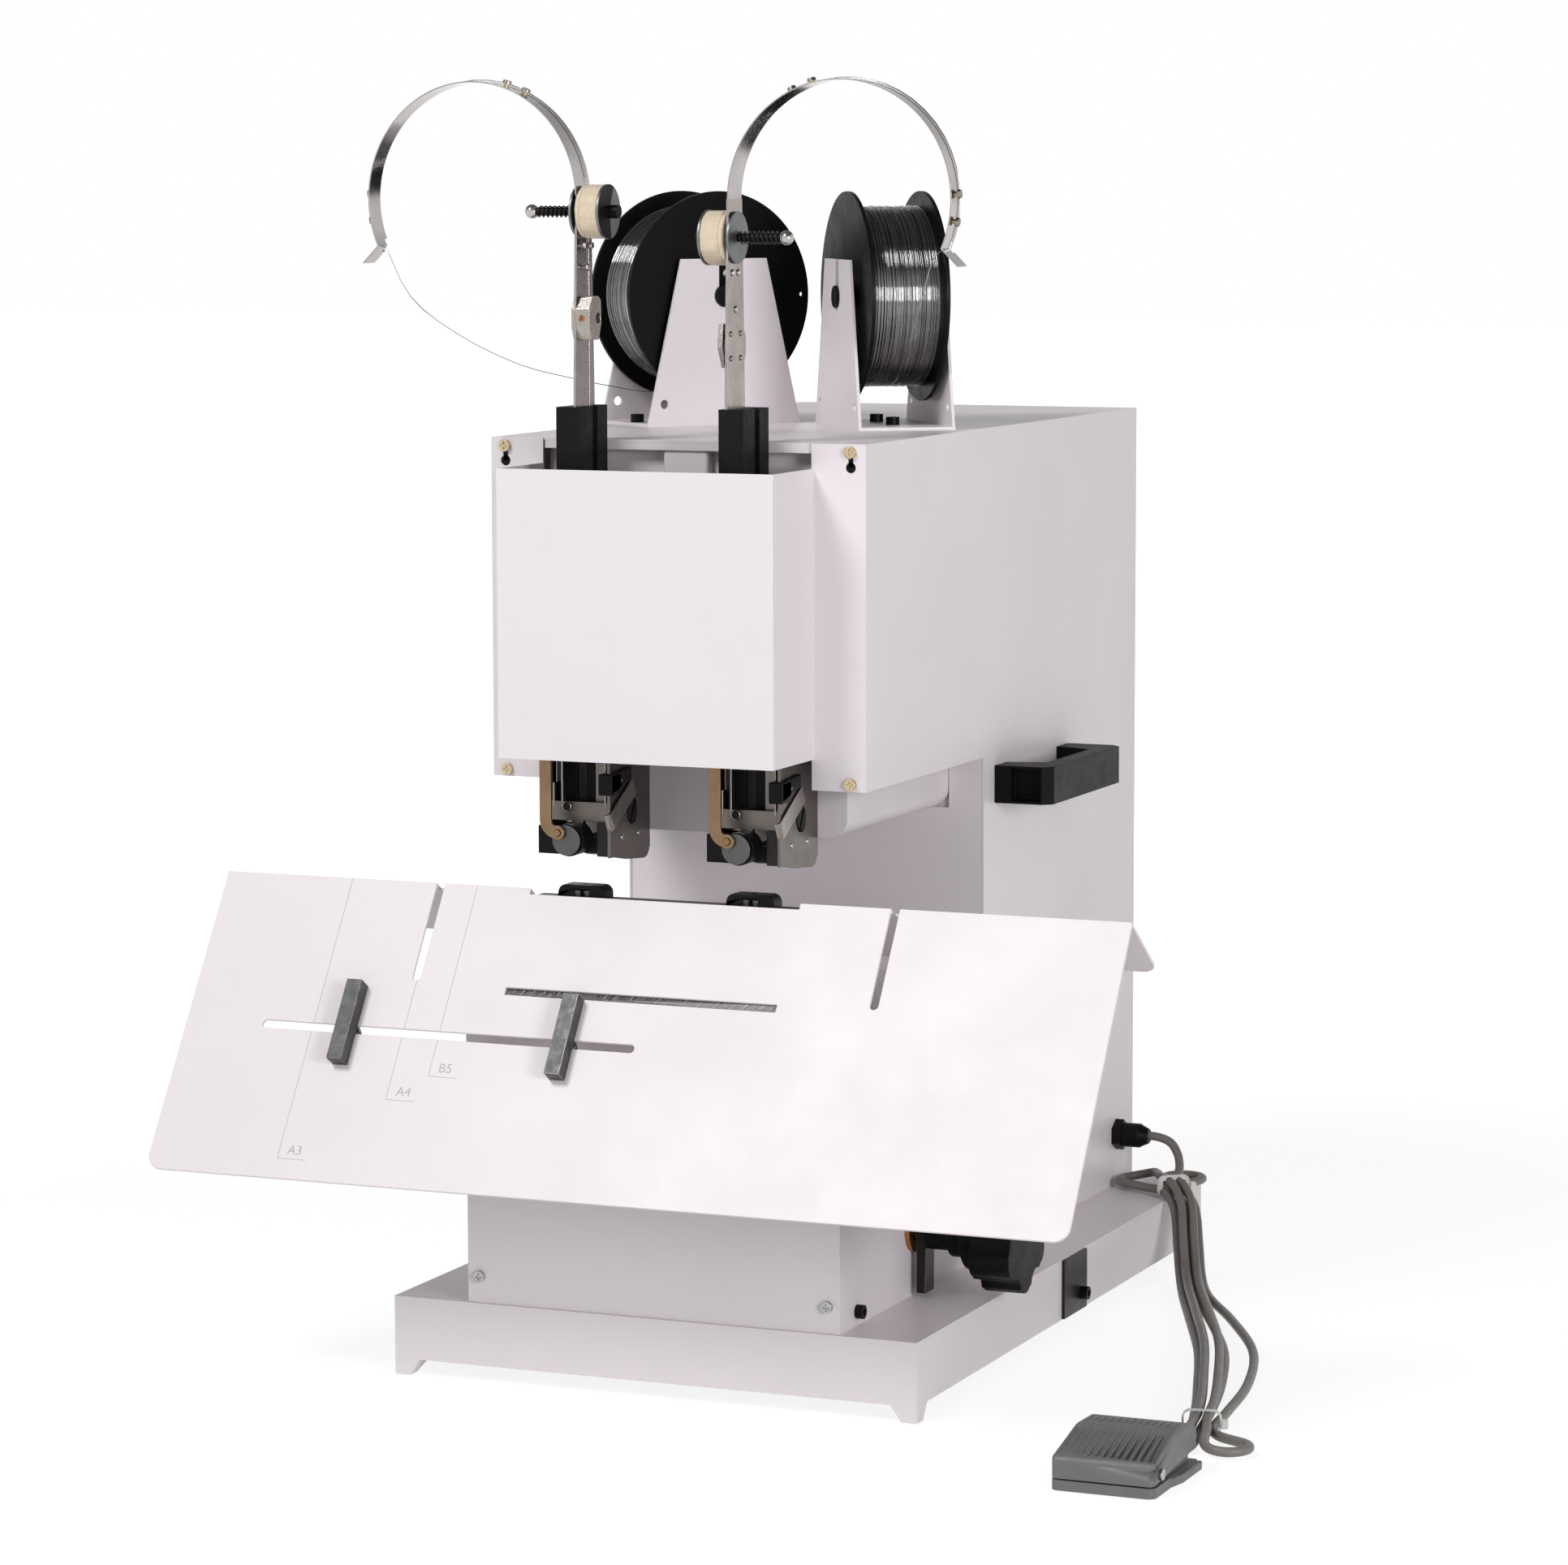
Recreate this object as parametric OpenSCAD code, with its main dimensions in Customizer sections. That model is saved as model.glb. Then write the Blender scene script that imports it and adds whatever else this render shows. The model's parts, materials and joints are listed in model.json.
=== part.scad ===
// Double-head electric wire stitching machine with a saddle table, two wire spools and a foot pedal.
// Lengths are millimetres. X runs to the right, Y to the back and Z up. The origin is on the floor,
// under the middle of the machine's own box, which the table's sides and front edge and the rear set.

/* [Base] */
// Width of the base tray
base_w = 345; // [330:1:380]
// Depth of the base tray
base_d = 537; // [520:1:580]
// Height of the base tray's top above the floor
base_top = 49; // [40:1:60]
// Wall of the base tray
base_wall = 3; // [2:0.5:5]
// Height of the feet below the tray's wall
foot_h = 10; // [6:1:14]
// Width of a foot at the wall
foot_w = 17; // [14:1:24]
// Width of a foot on the floor
foot_tip = 10; // [8:1:13]
// Length and height of the black plate on the right wall
plate_size = [43, 38]; // [30:1:60]
// Middle of that plate behind the column's front
plate_back = 32; // [20:1:60]

/* [Housing] */
// Width over the housing and the lower cover
house_w = 245.4; // [236:0.2:256]
// Height of the housing's top above the floor
house_top = 576; // [560:1:600]
// Height of the housing's lower edge above the floor
house_bottom = 369; // [360:1:378]
// Distance of the housing's front behind the table's ridge
house_setback = 21.3; // [18:0.1:26]
// Depth of the column
column_d = 293.5; // [280:0.5:306]
// Sheet metal of the covers
sheet = 1.5; // [1:0.1:2]
// Width of the housing's folded front edges
front_fold = 24; // [18:1:30]
// Depth that the rear cover lies inside the housing
rear_inset = 3; // [2.5:0.5:6]
// Height of the lower cover's roof above the floor
lower_top = 230; // [222:1:236]
// Clearance between separate sheets
sheet_gap = 0.3; // [0.2:0.05:0.6]

/* [Front guard] */
// Width of the guard's box
guard_w = 178.6; // [168:0.2:190]
// Depth that the box stands out in front of the housing
guard_d = 64; // [60:1:76]
// Height of the box's lower edge above the housing's lower edge
guard_lift = 18.5; // [12:0.5:26]
// Depth of the box's upper edge below the housing's top
guard_drop = 15; // [10:0.5:24]
// Distance of the guard's screws from the middle
guard_screw_x = 113; // [108:0.5:116]
// Distance of the upper screws below the housing's top
guard_screw_drop = 5; // [4.5:0.5:9]

/* [Casting] */
// Width of the cast frame inside the covers
frame_w = 197.4; // [190:0.2:206]
// Wall of the cast frame
frame_wall = 10; // [8:0.5:12]
// Depth of the arm's underside below the housing's lower edge
arm_drop = 32.5; // [26:0.5:36]
// Distance of the arm's front behind the housing's front
arm_setback = 28.3; // [26:0.1:31]
// Height of the frame's top above the floor
frame_top = 470; // [468:1:490]
// Depth of the frame's column
frame_column_d = 228; // [216:1:240]
// Rounding of the arm's lower edges
arm_round = 12; // [6:1:16]

/* [Saddle table] */
// Width of the table
table_w = 594; // [560:1:640]
// Length of the front slope
table_len = 201; // [190:1:215]
// Slope of the front from the horizontal, in degrees
table_angle = 56.7; // [52:0.1:60]
// Height of the ridge above the floor
ridge_z = 303.6; // [298:0.2:310]
// Distance of the ridge behind the base's front
ridge_back = 23.7; // [20:0.1:28]
// Length of the rear slope
rear_len = 59; // [50:1:64]
// Slope of the rear from the horizontal, in degrees
rear_angle = 36.3; // [32:0.1:40]
// Sheet metal of the table
table_t = 2; // [1.5:0.1:2.6]
// Radius of the table's corners
table_round = 10; // [6:1:16]
// Width of the long slots
slot_w = 5.4; // [5.2:0.1:7]
// Ends of the stop slot across the table, left then right
stop_slot = [-241.8, 1.8]; // [-260:0.2:40]
// Distance of the stop slot below the ridge, down the slope
stop_slot_s = 101; // [96:1:106]
// Distance of the two slots open at the ridge from the middle
side_slot_x = 149.5; // [140:0.5:160]
// Length of the two slots open at the ridge
side_slot_len = 65.7; // [55:0.1:75]
// Distance of the short cross slot below the ridge
cross_slot_s = 69; // [64:1:74]
// Width of the short cross slot
cross_slot_w = 5; // [4:0.5:7]
// Half the width of the ridge's notch and of the cross slot
notch_half = 88.6; // [82:0.2:92]
// Depth of the notch down the front and down the rear slope
notch_s = [4, 22]; // [3.5:0.5:26]
// Rest places of the two stop bars across the table
stop_x = [-185, -40]; // [-200:1:-20]
// Width, length and height of a stop bar
stop_size = [10, 52.8, 10]; // [8:0.2:60]

/* [Heads] */
// Distance between the two heads
head_pitch = 111; // [106:0.5:116]
// Distance of the stitching line behind the ridge
stitch_back = 7.6; // [7.2:0.1:8]
// Half the width of a head's frame
head_half = 24; // [22:0.5:26]
// Plate of the head frames
head_plate = 2; // [1.5:0.1:2.5]
// Height of the heads' underside above the ridge
head_lift = 22; // [18:0.5:26]
// Height of the heads' frames
head_h = 75; // [72:1:80]
// Width and depth of a driver
ram_size = [6, 7]; // [4:0.5:8]
// Height of a driver's tip above the heads' underside at rest
ram_rest = 20; // [18:0.5:24]
// Stroke of the drivers
ram_stroke = 25; // [20:0.5:25]
// Running clearance of the drivers and slides
slide_gap = 0.3; // [0.2:0.05:0.5]
// Width and depth of a black post
post_size = [16, 39]; // [14:1:42]
// Offset of the posts towards the middle
post_in = 2.8; // [0:0.2:4]
// Height of the posts above the housing's top
post_rise = 21; // [15:1:30]
// Radius of a wire turner's disc
turner_r = 10; // [9:0.2:10.4]
// Width and thickness of a brass feed bar
feed_size = [7.6, 2]; // [1.5:0.1:9]

/* [Wire feed] */
// Width of a mast strip at its foot and at its head
mast_w = [27, 20]; // [16:1:32]
// Thickness of the mast strips
mast_t = 1.5; // [1.2:0.1:2]
// Distance of the masts from the middle
mast_x = 49; // [47.5:0.5:51]
// Height of the mast strips above the housing's top
mast_rise = 144; // [140:1:150]
// Middle radius of a tension arc
arc_r = 69.5; // [64:0.5:74]
// Thickness of a tension arc
arc_t = 0.8; // [0.6:0.1:1]
// Width of a tension arc at its root and tip
arc_w = [20, 14]; // [10:1:24]
// Angle that a tension arc runs through
arc_sweep = 204; // [196:1:212]
// Length of an arc's bent tip
arc_tip = 15; // [10:1:20]
// Radius of a felt disc
felt_r = 16.3; // [14:0.1:18]
// Thickness of a felt disc
felt_t = 14; // [11:0.5:16]
// Height of the felts above the housing's top, left then right
felt_rise = [136.5, 121.5]; // [112:0.5:140]
// Height of the straighteners above the housing's top, left then right
block_rise = [73.5, 58]; // [52:0.5:80]
// Width, depth and height of a straightener block
block_size = [11.5, 17, 26]; // [9:0.5:30]
// Radius of a tension bolt
bolt_r = 2.5; // [2:0.1:3]
// Length of a tension spring
spring_len = 25; // [22:0.5:28]
// Thickness of the stitching wire
wire_d = 0.6; // [0.5:0.05:0.8]

/* [Spools] */
// Places of the spool brackets across the housing, left then right
bracket_x = [-71.9, 54.7]; // [-80:0.1:62]
// Place of the spool brackets front to back
bracket_y = 20; // [10:1:30]
// Turn of the brackets from the sides, in degrees
bracket_turn = 36.3; // [30:0.1:42]
// Width over a bracket's two cheeks
bracket_w = 62; // [60:0.5:66]
// Length of a cheek at its foot and at its top
cheek_len = [111.7, 62.3]; // [56:0.1:118]
// Height of a cheek
cheek_h = 105; // [98:1:112]
// Sheet metal of the brackets
bracket_t = 2; // [1.5:0.1:2.5]
// Height of the spool axle above the housing's top
axle_rise = 81.6; // [78:0.2:86]
// Radius of the spool axle
axle_r = 7; // [6:0.1:8]
// Radius of the spool flanges
flange_r = 65.7; // [60:0.1:68]
// Thickness of the spool flanges
flange_t = 2.5; // [2:0.1:4]
// Width over the spool flanges
spool_w = 50; // [46:0.5:54]
// Outer radius of the wound wire
wound_r = 57; // [50:0.5:58]
// Running clearance of the spools on their axles
axle_gap = 0.08; // [0.03:0.01:0.1]

/* [Adjuster] */
// Height of the adjuster's shaft above the base
adjuster_rise = 43; // [42:0.5:46]
// Distance of the adjuster's shaft behind the ridge
adjuster_back = 98.5; // [94:0.5:104]
// Radius of the adjuster's shaft
shaft_r = 8; // [7:0.1:8.5]
// Offset of the lifting eccentric
eccentric_e = 3.54; // [2.5:0.02:4]
// Radius of the lifting eccentric
eccentric_r = 16; // [15:0.2:17]
// Radius of the lobed knob
knob_r = 36; // [32:0.5:37]
// Length of the lobed part of the knob
knob_len = 26; // [20:1:30]
// Running clearance of the shafts
shaft_gap = 0.06; // [0.03:0.01:0.1]

/* [Drive] */
// Height of the rocker's pivot above the floor
pivot_z = 430; // [428:0.5:432]
// Distance of the rocker's pivot behind the column's front
pivot_back = 12; // [8:0.5:16]
// Distance of the cam behind the rocker's pivot
cam_back = 100; // [94:1:106]
// Smallest radius of the cam
cam_r = 40; // [36:0.5:42]
// Radius of the rocker's roller
roller_r = 12; // [10:0.5:13]

/* [Handles and gland] */
// Length, height and reach of a carry handle
handle_size = [138, 24, 38]; // [20:1:150]
// Distance of the handles' front end behind the column's front
handle_back = 19; // [14:1:30]
// Height of the handles' middle above the floor
handle_z = 350; // [330:1:360]
// Distance of the cable gland in front of the rear
gland_front = 35; // [30:0.5:40]
// Height of the cable gland above the base
gland_rise = 34.5; // [30:0.5:40]
// Diameter of the pedal's cord
cord_d = 5.9; // [5.5:0.1:6]

/* [Foot pedal] */
// Width of the foot pedal
pedal_w = 62; // [58:1:64]
// Depth of the foot pedal
pedal_d = 76; // [72:1:84]
// Height of the foot pedal at its crest
pedal_h = 30; // [28:1:33]
// Thickness of the pedal's base plate
pedal_plate = 6; // [5:0.5:7]
// Wall of the treadle
treadle_wall = 2.4; // [2:0.1:3]
// Radius of the treadle's hinge pin
pedal_pin_r = 2; // [1.6:0.1:2.4]

/* [Hidden] */
$fn = 48;

// Sides of the machine: the left one is 0 and the right one 1
LEFT = 0;
RIGHT = 1;
function side_sign(side) = side == LEFT ? -1 : 1;

// Main planes
rear_y = (base_d + table_len * cos(table_angle) - ridge_back) / 2;
base_front = rear_y - base_d;
ridge_y = base_front + ridge_back;
house_front = ridge_y + house_setback;
column_y = rear_y - column_d;
house_x = house_w / 2;
guard_front = house_front - guard_d;
lower_front = base_front + sheet;
arm_front = house_front + arm_setback;
arm_bottom = house_bottom - arm_drop;
frame_front = column_y + sheet + 2;
frame_back = frame_front + frame_column_d;
frame_x = frame_w / 2;
stitch_y = ridge_y + stitch_back;
head_bottom = ridge_z + head_lift;
clincher_top = ridge_z + 3.2;

// Screws and small parts
pan_head = [3.6, 2.4];
pan_shank = [2, 8];
socket_head = [4.25, 5];
socket_shank = [2.5, 9];
screw_gap = 0.1;
keyhole_drop = 9;
small_screw = [1.2, 2.2];
lower_screw_x = house_x - 8;
lower_screw_z = base_top + 16.5;
side_screw_y = lower_front + 27;
side_screw_z = base_top + 9;
plate_y = column_y + plate_back;
plate_z = base_top - plate_size[1] / 2 - 0.5;
plate_t = 2;
plate_screw_y = plate_y + plate_size[0] / 4;
plate_screw_z = plate_z - 8;
bracket_screw_y = 20;
rear_screw_in = 20;
handle_foot = 11;
handle_grip = 13;

// Table gussets and motor
gusset_reach = 40;
motor_len = 135;
motor_cap = 10;

// Adjuster and anvil
adjuster_y = ridge_y + adjuster_back;
adjuster_z = base_top + adjuster_rise;
stem_half = 12;
guide_half = 24;
shaft_in_knob = 18;
anvil_travel = eccentric_e * sin(45);
anvil_bottom = lower_top + anvil_travel + 3;
anvil_t = 16;
clincher_half = 15.7;
clincher_d = 13;
bush_flange = [15.7, 3.2];
bush_sleeve = 12;
collar_r = 13;
collar_end = house_x + 27;
knob_start = house_x + 48;
arm_bar = [6, 15, 40];

// Drive: the rocker's nose moves the drivers, and the cam lifts the roller behind the pivot
pivot_y = column_y + pivot_back;
nose_y = arm_front - 13;
nose_len = pivot_y - nose_y;
rocker_tilt = asin(ram_stroke / 2 / nose_len);
nose_z = pivot_z + ram_stroke / 2;
nose_r = 4;
roller_drop = cam_back * sin(rocker_tilt);
cam_y = pivot_y + cam_back;
cam_lift = 2 * roller_drop;
cam_gap = 0.4;
cam_z = pivot_z - roller_drop - roller_r - cam_r - cam_gap;
cam_half = 7;
cam_shaft_r = 10;
motor_bore_r = 8;
gear_box = [34, 92, 92];
trunnion_r = 9;

// Heads
ram_y = stitch_y - ram_size[1] / 2;
ram_bottom = head_bottom + ram_rest;
ram_top = nose_z + 24;
tail_half = 12;
guide_front = ram_y - 0.5;
guide_d = 18;
guide_x = 10;
post_back = guide_front + 16;
guide_bottom = head_bottom + 27;
turner_x = 0;
turner_z = head_bottom + 11;
turner_front = guide_front - 24;
turner_pin = [-4.6, 4.8];
turner_shaft_r = 6;
turner_disc_t = 3;
turner_len = 14.5;
bracket_z = [head_bottom + 21.2, head_bottom + 33];

// Wire feed
mast_y = stitch_y - 12;
mast_foot = house_top - 6;
arc_x = mast_x + arc_r;
arc_z = house_top + mast_rise;
wire_gap = 0.5;
wire_side = 0.9;
wire_x = mast_x - mast_t / 2 - wire_gap;
wire_y = mast_y + 5;
bolt_y = mast_y;
nut_t = 6.5;
washer_t = 1.5;
washer_gap = 0.35;
spring_wire = 1.2;
spring_r = 4.2;
spring_curls = 10;
block_screws = [-7.2, 7.2];
felt_face = mast_x - mast_t / 2 - wire_side;

// Spools: a fat strand stands for each band of the outer layer of wire
wind_loops = 12;
wind_rings = 16;
wind_pitch = (spool_w - 2 * flange_t - 1) / (wind_loops + 0.6);
wind_strand = wind_pitch / 2 - 0.32;
core_r = 30;

// Pedal
pedal_x = 328;
pedal_y = -302;
pedal_front = pedal_y - pedal_d / 2;
pedal_back = pedal_y + pedal_d / 2;
pin_y = pedal_front + 12;
pin_z = pedal_plate + 6;
ear_half = pedal_w / 2 - treadle_wall - 4;
treadle_lift = 1;
treadle_rise = 7;
cord_in_z = 15;

// Cord: the gland's mouth, then the hank's spine over the base's edge and along the floor
gland_y = rear_y - gland_front;
gland_z = base_top + gland_rise;
gland_end = house_x + 24;
strand_lift = 4.5;
lead_points = [[gland_end - 8, gland_y, gland_z], [gland_end + 6, gland_y, gland_z], [162.5, 275.5, 80.5],
  [169, 271, 74], [173, 263.5, 67.5]];
hank_spine = [[174, 246, 54.2], [180, 238.5, 53], [189, 227, 45.5], [198, 207, 27], [206, 188, 11],
  [218, 158, strand_lift], [246, 88, strand_lift], [280, 2, strand_lift], [308, -84, strand_lift],
  [328, -150, strand_lift], [338, -193, strand_lift]];
hank_tail = [[338, -226, 11.2], [332, -246, 13.5], [pedal_x, pedal_back + 2, cord_in_z],
  [pedal_x, pedal_back - 7, cord_in_z]];

// Shared shapes

// Children drawn in Y and Z, run through the width w about the middle
module along_x(w) rotate([90, 0, 90]) linear_extrude(w, center = true) children();

// Children drawn in X and Z, run back from Y = 0 by d
module along_y(d) translate([0, d, 0]) rotate([90, 0, 0]) linear_extrude(d) children();

// A box between two corners
module span(a, b) translate(a) cube(b - a);

// Rods along X and along Y that start at the origin
module rod_x(r, l) rotate([0, 90, 0]) cylinder(r = r, h = l);
module rod_y(r, l) rotate([-90, 0, 0]) cylinder(r = r, h = l);

// The left half of a mirrored pair takes its shape from the right one
module on_side(side) {
  if (side == LEFT) mirror([1, 0, 0]) children();
  else children();
}

// Heads are alike, so they are only shifted
module at_head(side) translate([side_sign(side) * head_pitch / 2, 0, 0]) children();

// The front slope: Y runs down the slope and Z into the sheet
module on_front() translate([0, ridge_y, ridge_z]) rotate([180 + table_angle, 0, 0]) children();

// The rear slope: Y runs down the slope and Z out of the sheet
module on_rear() translate([0, ridge_y, ridge_z]) rotate([-rear_angle, 0, 0]) children();

// A spool bracket's own place: X runs along the spool's axle
module at_bracket(side)
  translate([bracket_x[side], bracket_y, house_top])
    rotate([0, 0, side_sign(side) * bracket_turn]) children();

// Flat shape with two rounded lower corners
module round_foot(w, h, r) {
  translate([-w / 2, r]) square([w, h - r]);
  translate([-w / 2 + r, 0]) square([w - 2 * r, r + 1]);
  for (s = [-1, 1]) translate([s * (w / 2 - r), r]) circle(r);
}

// Slot with round ends between two places along X
module round_slot(a, b, w) {
  translate([a, -w / 2]) square([b - a, w]);
  translate([a, 0]) circle(w / 2);
  translate([b, 0]) circle(w / 2);
}

// Pan-head and socket-head screws that point down, seated on Z = 0
module pan_screw() {
  difference() {
    cylinder(r = pan_head[0], h = pan_head[1]);
    for (a = [0, 90]) rotate([0, 0, a]) translate([-2.2, -0.5, pan_head[1] - 1]) cube([4.4, 1, 2]);
  }
  translate([0, 0, -pan_shank[1]]) cylinder(r = pan_shank[0], h = pan_shank[1] + 0.01);
}
module socket_screw() {
  difference() {
    cylinder(r = socket_head[0], h = socket_head[1]);
    translate([0, 0, socket_head[1] / 2]) cylinder(r = 2.3, h = socket_head[1], $fn = 6);
  }
  translate([0, 0, -socket_shank[1]]) cylinder(r = socket_shank[0], h = socket_shank[1] + 0.01);
}

// Swept tubes

function unit(v) = v / norm(v);
function mix(a, b, t) = a * (1 - t) + b * t;

// Smooth curve through points, with n steps between each two; close points bend no harder than far ones
function slope(u, v, du, dv, d) = (u / du - (u + v) / (du + dv) + v / dv) * d;
function curve_point(p, i, t) = let (
    b = p[i],
    c = p[i + 1],
    u = i > 0 ? b - p[i - 1] : c - b,
    v = c - b,
    w = i + 2 < len(p) ? p[i + 2] - c : v,
    du = sqrt(norm(u)),
    dv = sqrt(norm(v)),
    dw = sqrt(norm(w)),
    s2 = t * t,
    s3 = s2 * t)
  (2 * s3 - 3 * s2 + 1) * b + (s3 - 2 * s2 + t) * slope(u, v, du, dv, dv) + (3 * s2 - 2 * s3) * c
  + (s3 - s2) * slope(v, w, dv, dw, dv);
function smooth(p, n) = let (last = len(p) - 1)
  concat([for (i = [0:last - 1], k = [0:n - 1]) curve_point(p, i, k / n)], [p[last]]);

// Directions along a path, and side directions that turn as little as they can
function heading(p, i) = unit(p[min(i + 1, len(p) - 1)] - p[max(i - 1, 0)]);
function level(v, t) = unit(v - (v * t) * t);
function start_side(t) = level(abs(t[2]) < 0.9 ? [0, 0, 1] : [0, 1, 0], t);
function sides_along(p) = [for (i = 0, u = start_side(heading(p, 0)); i < len(p);
    i = i + 1, u = i < len(p) ? level(u, heading(p, i)) : u) u];

// The same path with a straight piece of length l at each end
function straight_ends(p, l) = let (n = len(p) - 1)
  concat([p[0] - l * unit(p[1] - p[0])], p, [p[n] + l * unit(p[n] - p[n - 1])]);

// Closed tube of radius r and n sides round the steps of a path from first to last
module tube(p, r, n, first = 0, last = undef) {
  end = is_undef(last) ? len(p) - 1 : last;
  u = sides_along(p);
  rings = [for (i = [first:end]) let (t = heading(p, i), v = cross(t, u[i]))
    for (k = [0:n - 1]) p[i] + r * (cos(360 * k / n) * u[i] + sin(360 * k / n) * v)];
  steps = end - first;
  top = steps * n;
  walls = [for (i = [0:steps - 1], k = [0:n - 1]) let (a = i * n + k, b = i * n + (k + 1) % n)
    for (f = [[a, a + n, b], [b, a + n, b + n]]) f];
  ends = [for (k = [1:n - 2]) for (f = [[0, k, k + 1], [top, top + k + 1, top + k]]) f];
  polyhedron(rings, concat(walls, ends), convexity = 10);
}

// Least distance between points of a path that lie more than skip steps apart
function self_gap(p, skip, d) = let (last = len(p) - 1)
  min([for (i = [0:last], k = [i + skip:1:last]) norm(p[i] - p[k])]) - d;

// Base

module base_tray() color("whitesmoke") {
  difference() {
    span([-base_w / 2, base_front, foot_h], [base_w / 2, rear_y, base_top]);
    span([-base_w / 2 + base_wall, base_front + base_wall, foot_h - 1],
      [base_w / 2 - base_wall, rear_y - base_wall, base_top - base_wall]);
    translate([base_w / 2 - base_wall - 1, plate_screw_y, plate_screw_z])
      rod_x(socket_shank[0] + screw_gap, base_wall + 2);
  }
  foot_side = [[0, 0], [foot_tip, 0], [foot_w, foot_h], [0, foot_h]];
  for (x = [-1, 1], y = [0, 1])
    translate([x * base_w / 2, y == 0 ? base_front : rear_y, 0]) mirror([x > 0 ? 1 : 0, 0, 0])
      mirror([0, y, 0]) intersection() {
        along_y(foot_w) polygon(foot_side);
        translate([foot_w / 2, 0, 0]) along_x(foot_w) polygon(foot_side);
      }
}

module base_side_plate() color("dimgray")
  difference() {
    span([base_w / 2, plate_y - plate_size[0] / 2, plate_z - plate_size[1] / 2],
      [base_w / 2 + plate_t, plate_y + plate_size[0] / 2, plate_z + plate_size[1] / 2]);
    translate([base_w / 2 - 1, plate_screw_y, plate_screw_z]) rod_x(socket_shank[0] + screw_gap, plate_t + 2);
  }

// Cast frame: a hollow column with an arm that carries the heads

module frame_casting() color("gainsboro")
  difference() {
    union() {
      translate([0, arm_front, arm_bottom]) along_y(frame_back - arm_front)
        round_foot(frame_w, frame_top - arm_bottom, arm_round);
      span([-frame_x, frame_front, base_top], [frame_x, frame_back, frame_top]);
    }
    span([-frame_x + frame_wall, arm_front + frame_wall, arm_bottom + frame_wall],
      [frame_x - frame_wall, frame_back - frame_wall, frame_top + 1]);
    span([-frame_x + frame_wall, frame_front + frame_wall, base_top + frame_wall],
      [frame_x - frame_wall, frame_back - frame_wall, frame_top]);
    for (side = [LEFT, RIGHT]) at_head(side)
      span([-7, arm_front - 1, nose_z - ram_stroke - 18], [7, arm_front + frame_wall + 1, nose_z + 18]);
    translate([-frame_x - 1, pivot_y, pivot_z]) rod_x(trunnion_r + shaft_gap, frame_w + 2);
    translate([-frame_x - 1, cam_y, cam_z]) rod_x(cam_shaft_r + shaft_gap, frame_wall + 2);
  }

// Covers

house_profile = [[house_front, house_bottom], [house_front, house_top], [rear_y, house_top],
  [rear_y, base_top], [column_y, base_top], [column_y, house_bottom]];
house_room = [[house_front - 1, house_bottom - 1], [house_front - 1, house_top - sheet],
  [rear_y + 1, house_top - sheet], [rear_y + 1, base_top - 1], [column_y - 1, base_top - 1],
  [column_y - 1, house_bottom - 1]];

module guard_screw_places()
  for (x = [-1, 1], z = [house_bottom + pan_head[0] + 0.8, house_top - guard_screw_drop])
    translate([x * guard_screw_x, house_front, z]) children();

module rear_screw_places()
  for (x = [-1, 1], z = [base_top + rear_screw_in, house_top - rear_screw_in])
    translate([x * (house_x - front_fold / 2), rear_y - rear_inset, z]) children();

// Middles of a carry handle's two feet on the housing's side
module handle_screw_places()
  for (y = [handle_foot, handle_size[0] - handle_foot])
    translate([house_x, column_y + handle_back + y, handle_z]) children();

module body_cover() color("white")
  difference() {
    union() {
      difference() {
        along_x(house_w) polygon(house_profile);
        along_x(house_w - 2 * sheet) polygon(house_room);
      }
      for (side = [LEFT, RIGHT]) on_side(side) {
        span([house_x - front_fold, house_front, house_bottom],
          [house_x - sheet / 2, house_front + sheet, house_top - sheet / 2]);
        span([house_x - front_fold, rear_y - rear_inset - 2 * sheet, base_top],
          [house_x - sheet / 2, rear_y - rear_inset - sheet, house_top - sheet / 2]);
      }
    }
    guard_screw_places() translate([0, -1, 0]) rod_y(pan_shank[0] + screw_gap, sheet + 2);
    rear_screw_places() translate([0, -3 * sheet, 0]) rod_y(pan_shank[0] + screw_gap, 3 * sheet);
    translate([house_x - sheet - 1, gland_y, gland_z]) rod_x(8 + screw_gap, sheet + 2);
    for (side = [LEFT, RIGHT]) {
      at_bracket(side) for (y = [-1, 1]) translate([0, y * bracket_screw_y, -sheet - 1])
        cylinder(r = socket_shank[0] + screw_gap, h = sheet + 2);
      on_side(side) handle_screw_places() translate([-sheet - 1, 0, 0])
        rod_x(socket_shank[0] + screw_gap, sheet + 2);
    }
  }

module rear_cover() color("white")
  difference() {
    span([-house_x + sheet + sheet_gap, rear_y - rear_inset - sheet, base_top + sheet_gap],
      [house_x - sheet - sheet_gap, rear_y - rear_inset, house_top - sheet - sheet_gap]);
    rear_screw_places() translate([0, -sheet - 1, 0]) rod_y(pan_shank[0] + screw_gap, sheet + 2);
    for (k = [-3:3]) translate([0, rear_y - rear_inset - sheet - 1, base_top + 90 + 14 * k])
      along_y(sheet + 2) round_slot(-45, 45, 5);
  }

module throat_panel() color("white")
  difference() {
    span([-house_x + sheet + sheet_gap, column_y, base_top],
      [house_x - sheet - sheet_gap, column_y + sheet, house_bottom]);
    span([-frame_x - sheet_gap, column_y - 1, arm_bottom - sheet_gap],
      [frame_x + sheet_gap, column_y + sheet + 1, house_bottom + 1]);
  }

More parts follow.
